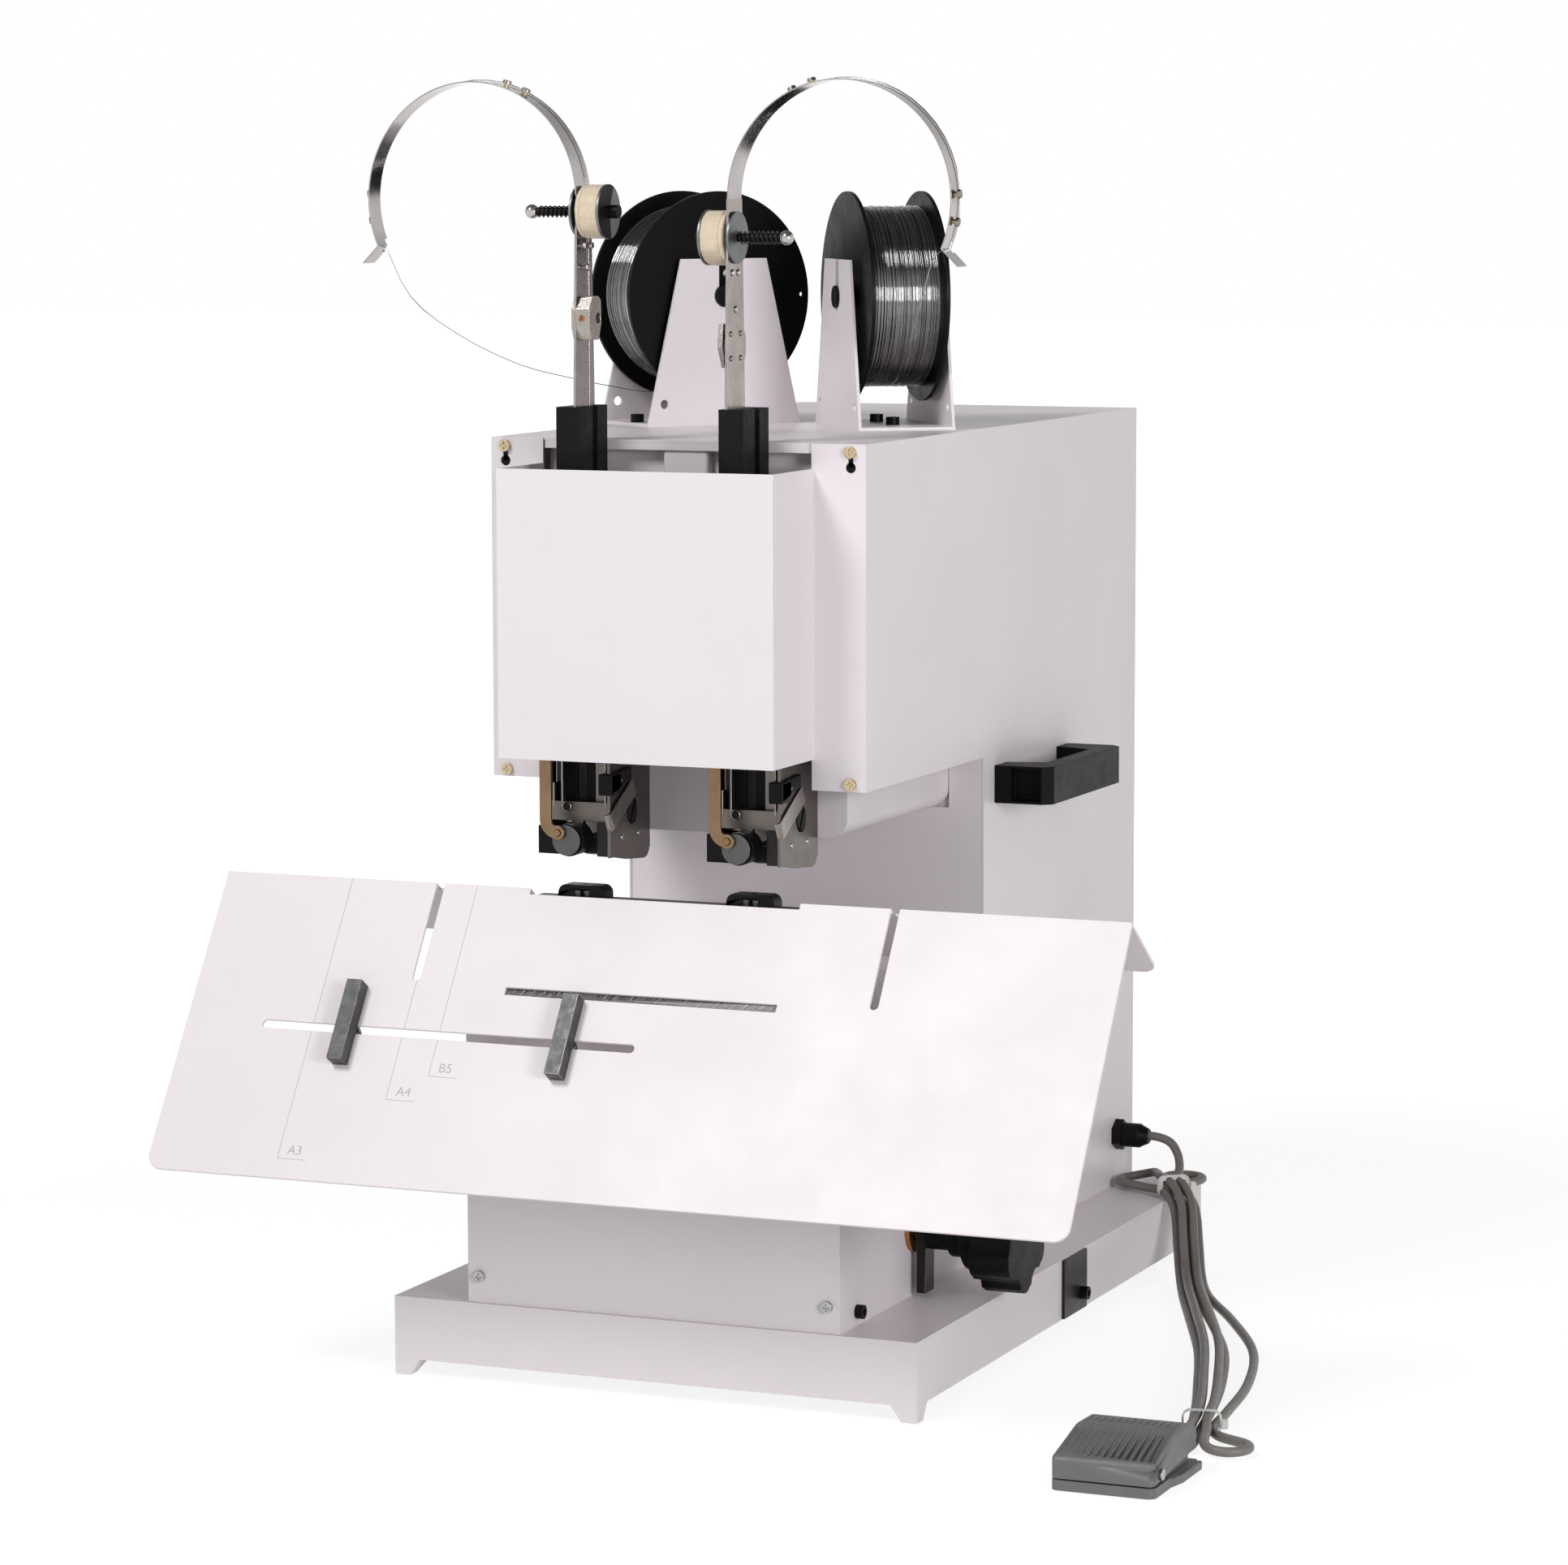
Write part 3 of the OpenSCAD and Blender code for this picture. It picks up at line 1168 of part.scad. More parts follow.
// Rocker: trunnions in the frame's cheeks, two noses in the drivers' tails and a roller over the cam
module rocker_beam() color("gray") {
  hub_r = 17;
  translate([-frame_x + frame_wall + 1, pivot_y, pivot_z]) rod_x(hub_r, frame_w - 2 * frame_wall - 2);
  translate([-frame_x, pivot_y, pivot_z]) rod_x(trunnion_r, frame_w);
  neck_y = arm_front - 4;
  thick_y = arm_front + 22;
  neck_z = nose_z - ram_stroke / 2 * (neck_y - nose_y) / nose_len;
  thick_z = nose_z - ram_stroke / 2 * (thick_y - nose_y) / nose_len;
  for (side = [LEFT, RIGHT]) at_head(side) along_x(10) {
    translate([nose_y, nose_z]) circle(nose_r);
    polygon([[nose_y, nose_z - 3], [neck_y, neck_z - 3], [thick_y, thick_z - 10], [pivot_y, pivot_z - 14],
      [pivot_y, pivot_z + 14], [thick_y, thick_z + 10], [neck_y, neck_z + 3], [nose_y, nose_z + 3]]);
  }
  roller_z = pivot_z - roller_drop;
  along_x(2 * cam_half + 2) {
    polygon([[pivot_y, pivot_z - 14], [cam_y - 8, roller_z - 2], [cam_y - 8, roller_z + roller_r - 2],
      [pivot_y, pivot_z + 14]]);
    translate([cam_y, roller_z]) circle(roller_r);
  }
}

// Cord and foot pedal

// Hexagon flange, body and domed nut, bored for the cord
module cable_gland() color("black")
  translate([house_x, gland_y, gland_z]) difference() {
    union() {
      rotate([0, 90, 0]) cylinder(r = 10.5, h = 6, $fn = 6);
      translate([-sheet - 6, 0, 0]) rod_x(8, sheet + 7);
      translate([5, 0, 0]) rod_x(8.2, 13);
      translate([-sheet - 5.5, 0, 0]) rotate([0, 90, 0]) cylinder(r = 10.5, h = 5, $fn = 6);
      translate([17, 0, 0]) rotate([0, 90, 0]) cylinder(r1 = 8.2, r2 = 5, h = gland_end - house_x - 17);
    }
    translate([-20, 0, 0]) rod_x(cord_d / 2 + slide_gap, 60);
  }

// The hank: five runs along one spine, joined at its ends by four loops
run_place = [[3.6, 6.7], [7.2, 0], [0, 0], [-7.2, 0], [-3.6, 6.7]];
run_swell = [2, 20, 9, 0, 0];
run_steps = 10;
spine = smooth(hank_spine, 6);
function spine_at(t) = let (n = len(spine) - 1, i = min(floor(t * n), n - 1))
  mix(spine[i], spine[i + 1], t * n - i);
function spine_way(t) = unit(spine_at(min(t + 0.03, 1)) - spine_at(max(t - 0.03, 0)));
function spine_side(t) = let (w = spine_way(t)) unit([-w[1], w[0], 0]);
function spine_up(t) = cross(spine_way(t), -spine_side(t)) * -1;
function swell(t) = t < 0.45 ? 0 : pow(sin(180 * (t - 0.45) / 0.53 * (t < 0.98 ? 1 : 0)), 2);
function run_point(k, t) = spine_at(t) + (run_place[k][0] + run_swell[k] * swell(t)) * spine_side(t)
  + run_place[k][1] * spine_up(t);
function run_points(k) = [for (j = [0:run_steps])
  let (t = j / run_steps) run_point(k, k % 2 == 0 ? t : 1 - t)];

// A loop past one end of the spine, in steps out, to the side and up: a leg, an arc from one angle to
// another round a middle, and a leg back
loop_r = 13;
function arc_points(out, side, a, b, lift) = let (n = len(lift) - 1)
  [for (k = [0:n]) let (t = mix(a, b, k / n)) [out + loop_r * cos(t), side + loop_r * sin(t), lift[k]]];
function loop_points(t, shape) = let (
    o = spine_at(t), w = spine_way(t) * (t < 0.5 ? -1 : 1), s = spine_side(t))
  [for (p = shape) o + p[0] * [w[0], w[1], 0] + p[1] * s + [0, 0, p[2]]];
flat_loop = [0, 0, 0, 0, 0, 0];
loop_low_right = concat([[14, 4.9, 5.2]], arc_points(37, 19, -72, 122, [1.6, 0.5, 0, 0, 0, 0]),
  [[14, 13, 0]]);
loop_top_right = concat([[14, 14.5, 0]], arc_points(36, 21, 122, -72, flat_loop), [[14, 3.2, 0]]);
loop_low_left = concat([[14, -0.6, 0]], arc_points(36, -15, 72, -122, flat_loop), [[14, -12.6, 0]]);
loop_top_left = concat([[14, -14, 0]], arc_points(38, -10.5, -118, 72, [0, 0, 0, 0.5, 2, 4.2]),
  [[14, -3, 6.5]]);

hank_points = concat(run_points(0), loop_points(1, loop_low_right), run_points(1),
  loop_points(0, loop_top_right), run_points(2), loop_points(1, loop_low_left), run_points(3),
  loop_points(0, loop_top_left), run_points(4));
cord_route = smooth(concat(lead_points, hank_points, hank_tail), 2);
hank_first = 2 * (len(lead_points) - 1);
hank_last = 2 * (len(lead_points) + len(hank_points) - 1);

module cord_hank() color("gray") tube(cord_route, cord_d / 2, 6, hank_first, hank_last);
module cord_ends() color("gray") {
  tube(cord_route, cord_d / 2, 8, 0, hank_first);
  tube(cord_route, cord_d / 2, 8, hank_last);
}

// Two plastic ties with their heads
tie_places = [0.012, 0.985];
module cable_ties() color("white")
  for (t = tie_places) {
    o = spine_at(t);
    w = spine_way(t);
    translate(o) rotate([0, 0, atan2(w[1], w[0])]) rotate([0, -asin(w[2]), 0]) difference() {
      union() {
        span([-1.6, -11.8, -4.3], [1.6, 11.8, 11]);
        span([-2.4, 11.6, 0], [2.4, 15.6, 5]);
      }
      span([-3, -10.7, -3.25], [3, 10.7, 10]);
    }
  }

// Pedal: a base plate with two ears, a hollow treadle and the pin that joins them
module pedal_base() color("dimgray") {
  difference() {
    span([pedal_x - pedal_w / 2, pedal_front, 0], [pedal_x + pedal_w / 2, pedal_back, pedal_plate]);
    translate([pedal_x, pedal_y, -1]) cylinder(r = 2.5, h = 4);
  }
  for (x = [-1, 1]) difference() {
    ear_x = pedal_x + x * ear_half;
    span([ear_x - 2, pin_y - 4, pedal_plate - 1], [ear_x + 2, pin_y + 4, pin_z + 4]);
    translate([pedal_x - pedal_w / 2, pin_y, pin_z]) rod_x(pedal_pin_r + 0.02, pedal_w);
  }
  difference() {
    span([pedal_x - 12, pedal_back - 8, pedal_plate - 1], [pedal_x + 12, pedal_back - 4, cord_in_z + 4]);
    translate([pedal_x, pedal_back - 10, cord_in_z]) rod_y(cord_d / 2 + 0.2, 20);
  }
}

// Outline of the treadle seen from the side, front on the left
function treadle_outline(inset) = [[pedal_front + inset, pedal_plate + treadle_lift - (inset > 0 ? 3 : 0)],
  [pedal_front + inset, 18 - inset], [pedal_front + 3 + inset, 20 - inset], [pedal_y + 6, pedal_h - inset],
  [pedal_back - 12, pedal_h - 0.5 - inset], [pedal_back - inset, pedal_h - 4 - inset],
  [pedal_back - inset, pedal_plate + treadle_rise - (inset > 0 ? 3 : 0)]];

module pedal_treadle() color("gray")
  translate([pedal_x, 0, 0]) difference() {
    along_x(pedal_w - 1) polygon(treadle_outline(0));
    along_x(pedal_w - 1 - 2 * treadle_wall) polygon(treadle_outline(treadle_wall));
    translate([-pedal_w / 2 - 1, pin_y, pin_z]) rod_x(pedal_pin_r + shaft_gap, pedal_w + 2);
    span([-13, pedal_back - treadle_wall - 1, 0], [13, pedal_back + 1, cord_in_z + 9]);
  }

module pedal_pin() color("silver")
  translate([pedal_x - pedal_w / 2 - 0.5, pin_y, pin_z]) {
    rod_x(pedal_pin_r, pedal_w + 1);
    translate([pedal_w + 0.4, 0, 0]) rod_x(3.4, 1.6);
  }

echo(hank_gap = self_gap(cord_route, 4, cord_d));
echo(spring_gap = self_gap(spring_path(LEFT), 5, spring_wire));
echo(winding_gap = wind_pitch - 2 * wind_strand);

base_tray();
base_side_plate();
frame_casting();
body_cover();
rear_cover();
throat_panel();
lower_cover();
front_guard();
guard_screws();
cover_screws();
cap_screws();
carry_handle_left();
carry_handle_right();
saddle_table();
table_brackets();
stop_bar_left();
stop_bar_right();
anvil_guide();
anvil_arm();
clinchers();
shaft_bush();
adjuster_shaft();
adjuster_knob();
head_frame_left();
head_frame_right();
head_post_left();
head_post_right();
head_ram_left();
head_ram_right();
wire_turner_left();
wire_turner_right();
feed_bar_left();
feed_bar_right();
wire_mast_left();
wire_mast_right();
tension_arc_left();
tension_arc_right();
straighteners();
felt_discs();
tension_bolts();
tension_springs();
stitch_wire_left();
stitch_wire_right();
spool_bracket_left();
spool_bracket_right();
spool_axles();
spool_left();
spool_right();
winding_left();
winding_right();
drive_motor();
cam_shaft();
rocker_beam();
cable_gland();
cord_ends();
cord_hank();
cable_ties();
pedal_base();
pedal_treadle();
pedal_pin();
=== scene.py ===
# Looks of a double-head saddle wire stitcher with its foot pedal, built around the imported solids.
import json
import math

import bpy
from mathutils import Matrix, Vector

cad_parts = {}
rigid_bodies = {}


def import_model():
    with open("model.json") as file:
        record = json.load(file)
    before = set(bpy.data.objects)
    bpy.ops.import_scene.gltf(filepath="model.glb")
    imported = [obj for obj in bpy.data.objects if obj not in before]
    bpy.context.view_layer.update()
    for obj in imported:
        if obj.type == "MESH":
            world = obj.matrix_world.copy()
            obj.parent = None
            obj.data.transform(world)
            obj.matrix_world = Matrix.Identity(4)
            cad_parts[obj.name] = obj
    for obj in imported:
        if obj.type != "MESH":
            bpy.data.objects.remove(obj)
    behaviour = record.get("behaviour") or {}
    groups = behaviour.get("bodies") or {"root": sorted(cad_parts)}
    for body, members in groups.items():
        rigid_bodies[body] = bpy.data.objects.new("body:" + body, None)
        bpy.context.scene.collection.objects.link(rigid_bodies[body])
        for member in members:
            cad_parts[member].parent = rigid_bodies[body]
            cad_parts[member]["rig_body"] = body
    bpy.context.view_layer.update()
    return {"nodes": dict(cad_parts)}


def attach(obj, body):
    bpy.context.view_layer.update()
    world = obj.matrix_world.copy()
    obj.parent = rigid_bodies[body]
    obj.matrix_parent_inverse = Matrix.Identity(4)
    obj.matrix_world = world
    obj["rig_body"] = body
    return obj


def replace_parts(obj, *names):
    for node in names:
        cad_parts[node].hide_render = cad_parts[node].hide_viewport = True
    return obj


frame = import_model()
MM = 0.001
LEFT, RIGHT = 0, 1
SIDE_SIGN = (-1, 1)
SIDE_NAME = ("left", "right")


def both(make):
    return [make(side) for side in (LEFT, RIGHT)]


def metres(point):
    return Vector(point) * MM


def linked(name, data):
    """A new object in the scene."""
    piece = bpy.data.objects.new(name, data)
    bpy.context.scene.collection.objects.link(piece)
    return piece


# Camera

CAMERA_PLACE = (1267.39, -3046.21, 742.96)
CAMERA_YAW, CAMERA_PITCH, CAMERA_ROLL = 22.687, 6.796, -0.110
FOCAL_PIXELS, IMAGE_WIDTH, SENSOR = 6438.56, 1932, 36.0


def turn(degrees, axis):
    return Matrix.Rotation(math.radians(degrees), 4, axis)


def place_camera():
    lens = bpy.data.cameras.new("camera")
    lens.sensor_width = SENSOR
    lens.lens = FOCAL_PIXELS / IMAGE_WIDTH * SENSOR
    lens.clip_end = 50
    camera = linked("camera", lens)
    aim = turn(CAMERA_YAW, "Z") @ turn(90 - CAMERA_PITCH, "X") @ turn(CAMERA_ROLL, "Z")
    camera.matrix_world = Matrix.Translation(metres(CAMERA_PLACE)) @ aim
    bpy.context.scene.camera = camera


place_camera()


# Shared shader effects: each puts out a pattern that changes over the surface


PLACE = ("Vector", "Vector", None)


def effect(name, inputs, output, kind="Float"):
    """An empty node group with its inputs as (label, kind, default value) and one output."""
    group = bpy.data.node_groups.new(name, "ShaderNodeTree")
    for label, sort, value in inputs:
        socket = group.interface.new_socket(label, in_out="INPUT", socket_type="NodeSocket" + sort)
        if value is not None:
            socket.default_value = value
    group.interface.new_socket(output, in_out="OUTPUT", socket_type="NodeSocket" + kind)
    given = group.nodes.new("NodeGroupInput").outputs
    return group, given, group.nodes.new("NodeGroupOutput").inputs[output]


def feed(tree, socket, value):
    """Links a socket to another one, or sets it to a value."""
    if isinstance(value, bpy.types.NodeSocket):
        tree.links.new(value, socket)
    elif socket.type == "RGBA":
        socket.default_value = (*value, 1)
    else:
        socket.default_value = value


def add_node(tree, kind, operation=None):
    node = tree.nodes.new("ShaderNode" + kind)
    if operation:
        node.operation = operation
    return node


def math_node(tree, operation, a, b):
    node = add_node(tree, "Math", operation)
    feed(tree, node.inputs[0], a)
    feed(tree, node.inputs[1], b)
    return node.outputs[0]


def noise_node(tree, vector, scale, detail, roughness=0.5):
    node = add_node(tree, "TexNoise")
    for label, value in zip(("Vector", "Scale", "Detail", "Roughness"), (vector, scale, detail, roughness)):
        feed(tree, node.inputs[label], value)
    return node.outputs["Fac"]


def spread_node(tree, value, low, high, start=0.0, end=1.0):
    node = add_node(tree, "MapRange")
    labels = ("Value", "From Min", "From Max", "To Min", "To Max")
    for label, number in zip(labels, (value, low, high, start, end)):
        feed(tree, node.inputs[label], number)
    return node.outputs["Result"]


def make_mottle():
    tones = [("Light", "Color", None), ("Dark", "Color", None)]
    group, given, end = effect("mottle", [PLACE, *tones, ("Scale", "Float", 20.0)], "Color", "Color")
    cloud = noise_node(group, given["Vector"], given["Scale"], 5.0, 0.6)
    mix = add_node(group, "Mix")
    mix.data_type = "RGBA"
    feed(group, mix.inputs["Factor"], spread_node(group, cloud, 0.3, 0.7))
    feed(group, mix.inputs[6], given["Light"])
    feed(group, mix.inputs[7], given["Dark"])
    feed(group, end, mix.outputs[2])
    return group


def make_pebble():
    group, given, end = effect("pebble", [PLACE, ("Scale", "Float", 600.0)], "Height")
    coarse = noise_node(group, given["Vector"], given["Scale"], 2.0)
    finer = math_node(group, "MULTIPLY", given["Scale"], 3.1)
    fine = noise_node(group, given["Vector"], finer, 2.0)
    shares = [math_node(group, "MULTIPLY", part, share) for part, share in ((coarse, 0.7), (fine, 0.3))]
    feed(group, end, math_node(group, "ADD", *shares))
    return group


def make_brushing():
    group, given, end = effect("brushing", [PLACE, ("Stretch", "Vector", None)], "Height")
    stretch = add_node(group, "VectorMath", "MULTIPLY")
    feed(group, stretch.inputs[0], given["Vector"])
    feed(group, stretch.inputs[1], given["Stretch"])
    feed(group, end, noise_node(group, stretch.outputs[0], 1.0, 4.0, 0.65))
    return group


def make_scuffs():
    levels = [("Clean", "Float", 0.4), ("Scuffed", "Float", 0.55)]
    group, given, end = effect("scuffs", [PLACE, ("Scale", "Float", 25.0), *levels], "Roughness")
    blotch = noise_node(group, given["Vector"], given["Scale"], 6.0, 0.7)
    feed(group, end, spread_node(group, blotch, 0.35, 0.7, given["Clean"], given["Scuffed"]))
    return group


EFFECTS = {
    "mottle": make_mottle(),
    "pebble": make_pebble(),
    "brushing": make_brushing(),
    "scuffs": make_scuffs(),
}


def use_effect(tree, name, **values):
    node = add_node(tree, "Group")
    node.node_tree = EFFECTS[name]
    for label, value in values.items():
        feed(tree, node.inputs[label], value)
    return node.outputs[0]


def finish_of(name, light, dark, rough, grain, metallic=0.0, tone_scale=18.0, **plain):
    """Two close tones in soft blotches, scuffed roughness, and a grain of (scale, strength, depth in mm).

    A grain with one scale is pebbled, and one with a scale for each of X, Y and Z is brushed.
    """
    made = bpy.data.materials.new(name)
    made.use_nodes = True
    tree = made.node_tree
    shader = tree.nodes["Principled BSDF"]
    shader.inputs["Metallic"].default_value = metallic
    for label, value in plain.items():
        shader.inputs[label.replace("_", " ")].default_value = value
    place = add_node(tree, "TexCoord").outputs["Object"]
    tone = use_effect(tree, "mottle", Vector=place, Light=light, Dark=dark, Scale=tone_scale)
    feed(tree, shader.inputs["Base Color"], tone)
    scuff = use_effect(tree, "scuffs", Vector=place, Clean=rough[0], Scuffed=rough[1], Scale=tone_scale * 2.3)
    feed(tree, shader.inputs["Roughness"], scuff)
    scale, strength, depth = grain
    if isinstance(scale, tuple):
        height = use_effect(tree, "brushing", Vector=place, Stretch=scale)
    else:
        height = use_effect(tree, "pebble", Vector=place, Scale=scale)
    bump = add_node(tree, "Bump")
    for label, value in (("Strength", strength), ("Distance", depth * MM), ("Height", height)):
        feed(tree, bump.inputs[label], value)
    feed(tree, shader.inputs["Normal"], bump.outputs["Normal"])
    return made


PAINT = finish_of(
    "white powder coat", (0.815, 0.762, 0.792), (0.785, 0.733, 0.763), (0.36, 0.46), (420, 0.25, 0.12),
    tone_scale=6
)
CAST_PAINT = finish_of(
    "painted casting", (0.77, 0.712, 0.745), (0.72, 0.665, 0.695), (0.4, 0.52), (260, 0.35, 0.3),
    tone_scale=14
)
NICKEL = finish_of(
    "nickel strip", (0.52, 0.495, 0.465), (0.43, 0.41, 0.385), (0.16, 0.28), ((60, 2200, 60), 0.05, 0.04), 1,
    40
)
MAST_NICKEL = finish_of(
    "dull nickel strip", (0.42, 0.38, 0.36), (0.33, 0.295, 0.28), (0.2, 0.36), ((60, 2200, 60), 0.07, 0.05),
    1, 40
)
POLISHED = finish_of(
    "polished spring strip", (0.45, 0.425, 0.41), (0.37, 0.345, 0.33), (0.1, 0.18), (60, 0.01, 0.02), 1, 25
)
STEEL = finish_of(
    "ground steel", (0.30, 0.275, 0.255), (0.26, 0.235, 0.215), (0.26, 0.36), ((700, 700, 80), 0.05, 0.04), 1,
    45
)
PLATE_STEEL = finish_of(
    "brown-toned plate", (0.165, 0.145, 0.133), (0.135, 0.118, 0.108), (0.3, 0.42),
    ((600, 600, 90), 0.05, 0.04), 1, 40
)
ZINC_GREY = finish_of(
    "dull zinc", (0.21, 0.215, 0.22), (0.165, 0.17, 0.175), (0.36, 0.48), (900, 0.1, 0.05), 0.9, 90
)
TURNER_FACE = finish_of(
    "turner face", (0.12, 0.118, 0.117), (0.095, 0.093, 0.092), (0.38, 0.5), (900, 0.1, 0.08), 0.9, 90
)
CAST_NICKEL = finish_of(
    "plated casting", (0.46, 0.42, 0.385), (0.34, 0.31, 0.28), (0.2, 0.34), (1100, 0.5, 0.55), 1, 60
)
DARK_STEEL = finish_of(
    "blackened steel", (0.022, 0.020, 0.019), (0.015, 0.0138, 0.0135), (0.3, 0.44), (900, 0.12, 0.08), 0.3,
    50, Specular_IOR_Level=0.2
)
WORN_EDGE = finish_of(
    "worn steel edge", (0.50, 0.49, 0.48), (0.25, 0.245, 0.24), (0.28, 0.45), (700, 0.2, 0.1), 1, 120
)
STOP_FACE = finish_of(
    "milled stop face", (0.115, 0.115, 0.12), (0.07, 0.07, 0.075), (0.34, 0.55), (850, 0.3, 0.12), 0.75, 90
)
IRON = finish_of(
    "bare casting", (0.20, 0.20, 0.205), (0.15, 0.15, 0.155), (0.45, 0.6), (500, 0.35, 0.3), 0.8, 30
)
BRASS = finish_of(
    "tarnished brass", (0.255, 0.17, 0.1), (0.215, 0.14, 0.08), (0.32, 0.46), ((900, 900, 120), 0.06, 0.05),
    1, 70
)
BRONZE = finish_of(
    "bronze bush", (0.48, 0.24, 0.11), (0.38, 0.18, 0.08), (0.25, 0.4), (800, 0.1, 0.08), 1, 80
)
GILT = finish_of("gilt screw", (0.62, 0.51, 0.33), (0.5, 0.40, 0.25), (0.2, 0.34), (900, 0.1, 0.05), 1, 120)
ZINC = finish_of("zinc screw", (0.5, 0.5, 0.5), (0.38, 0.38, 0.38), (0.22, 0.36), (900, 0.1, 0.05), 1, 120)
BLACK_PLASTIC = finish_of(
    "black moulded plastic", (0.0055, 0.0055, 0.006), (0.008, 0.008, 0.0085), (0.28, 0.4), (900, 0.1, 0.06),
    0, 30, Specular_IOR_Level=0.1
)
GRIP = finish_of(
    "matt black grip", (0.004, 0.004, 0.0043), (0.0075, 0.0075, 0.008), (0.38, 0.48), (700, 0.2, 0.1), 0, 30,
    Specular_IOR_Level=0.08
)
STIPPLED = finish_of(
    "stippled black casting", (0.006, 0.006, 0.0062), (0.011, 0.011, 0.0112), (0.4, 0.55), (420, 0.75, 0.5),
    0, 60, Specular_IOR_Level=0.1
)
SPOOL_PLASTIC = finish_of(
    "black spool plastic", (0.0045, 0.0045, 0.0048), (0.0065, 0.0065, 0.007), (0.34, 0.46),
    (1100, 0.06, 0.04), 0, 25, Specular_IOR_Level=0.08
)
GREY_PLASTIC = finish_of(
    "grey pedal plastic", (0.155, 0.155, 0.158), (0.135, 0.135, 0.138), (0.42, 0.55), (1300, 0.3, 0.12), 0,
    35
)
CORD_JACKET = finish_of(
    "grey cord jacket", (0.205, 0.188, 0.17), (0.18, 0.165, 0.148), (0.4, 0.52), (900, 0.12, 0.08), 0, 45
)
TIE_NYLON = finish_of(
    "tie nylon", (0.82, 0.82, 0.80), (0.76, 0.76, 0.74), (0.3, 0.4), (700, 0.1, 0.06), 0, 60
)
FELT = finish_of(
    "pressed wool felt", (0.76, 0.645, 0.49), (0.66, 0.54, 0.39), (0.85, 0.98), (1500, 0.9, 0.5), 0, 160,
    Sheen_Weight=0.35, Sheen_Roughness=0.5
)
WIRE_STEEL = finish_of(
    "stitching wire", (0.50, 0.50, 0.51), (0.40, 0.40, 0.41), (0.14, 0.26), (1200, 0.05, 0.03), 1, 70
)
WOUND_STEEL = finish_of(
    "wound dark wire", (0.36, 0.355, 0.355), (0.26, 0.256, 0.256), (0.08, 0.14), (1200, 0.05, 0.03), 1, 70
)
INK = finish_of(
    "grey marking ink", (0.42, 0.41, 0.42), (0.5, 0.49, 0.5), (0.45, 0.6), (900, 0.1, 0.03), 0, 150
)


# Ways of working

SHARP_ANGLE, FLAT_ANGLE, SEAM_GAP = 32, 0.4, 0.002


def only(piece):
    bpy.ops.object.select_all(action="DESELECT")
    piece.select_set(True)
    bpy.context.view_layer.objects.active = piece


def edit(action="SELECT"):
    bpy.ops.object.mode_set(mode="EDIT")
    bpy.ops.mesh.select_all(action=action)


def end_edit():
    bpy.ops.object.mode_set(mode="OBJECT")


def settle(piece):
    """Puts a piece's place, turn and size into its mesh."""
    only(piece)
    bpy.ops.object.transform_apply(location=True, rotation=True, scale=True)
    return piece


def smooth_over(piece, degrees=35):
    only(piece)
    bpy.ops.object.shade_smooth_by_angle(angle=math.radians(degrees))
    return piece


def apply_all(piece):
    only(piece)
    for modifier in list(piece.modifiers):
        bpy.ops.object.modifier_apply(modifier=modifier.name)
    return piece


def round_edges(piece, width, steps=2, edge_finish=False):
    """Rounds every sharp edge by a width in mm; the flat faces keep flat shading."""
    only(piece)
    bpy.ops.object.shade_smooth()
    bevel = piece.modifiers.new("edges", "BEVEL")
    bevel.width = width * MM
    bevel.segments = steps
    bevel.limit_method = "ANGLE"
    bevel.angle_limit = math.radians(SHARP_ANGLE)
    bevel.miter_outer = "MITER_ARC"
    if edge_finish:
        bevel.material = 1
    weigh = piece.modifiers.new("flats", "WEIGHTED_NORMAL")
    weigh.keep_sharp = False
    weigh.weight = 100
    return apply_all(piece)


def paint(piece, finish):
    piece.data.materials.clear()
    for one in finish if isinstance(finish, tuple) else (finish,):
        piece.data.materials.append(one)


def dress(piece, finish, body="machine"):
    """Gives a piece its finish, or a pair for its faces and edges, and the body that carries it."""
    paint(piece, finish)
    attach(piece, body)
    return piece


def finished(name, piece, width, finish, steps=2, body="machine"):
    """Names a piece, rounds its edges by a width in mm and dresses it."""
    piece.name = name
    return dress(round_edges(piece, width, steps), finish, body)


def merged_copy(node, finish):
    """A copy of a CAD node with its seams merged and its flat faces whole."""
    mesh = frame["nodes"][node].data.copy()
    piece = linked(node + ".finished", mesh)
    paint(piece, finish)
    only(piece)
    edit()
    bpy.ops.mesh.remove_doubles(threshold=SEAM_GAP * MM)
    bpy.ops.mesh.customdata_custom_splitnormals_clear()
    bpy.ops.mesh.dissolve_limited(angle_limit=math.radians(FLAT_ANGLE))
    end_edit()
    return piece


def stand_for(piece, node):
    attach(piece, frame["nodes"][node]["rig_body"])
    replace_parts(piece, node)
    return piece


def softened(node, width, finish, steps=2):
    """A CAD node's copy with rounded edges, which stands for the node."""
    piece = merged_copy(node, finish)
    round_edges(piece, width, steps, isinstance(finish, tuple))
    return stand_for(piece, node)


def tube_along(name, points, radius, smoothness=2):
    """A round tube through points in metres, as a curve of one open spline."""
    line = bpy.data.curves.new(name, "CURVE")
    line.dimensions = "3D"
    line.bevel_depth = radius
    line.bevel_resolution = smoothness
    line.use_fill_caps = True
    spline = line.splines.new("POLY")
    spline.points.add(len(points) - 1)
    for held, point in zip(spline.points, points):
        held.co = (*point, 1)
    spline.use_smooth = True
    return linked(name, line)


def as_mesh(piece):
    only(piece)
    bpy.ops.object.convert(target="MESH")
    return bpy.context.view_layer.objects.active


def copy_of(piece, name, move):
    """A copy with its own mesh, moved by a matrix in metres."""
    mesh = piece.data.copy()
    mesh.transform(move)
    return linked(name, mesh)


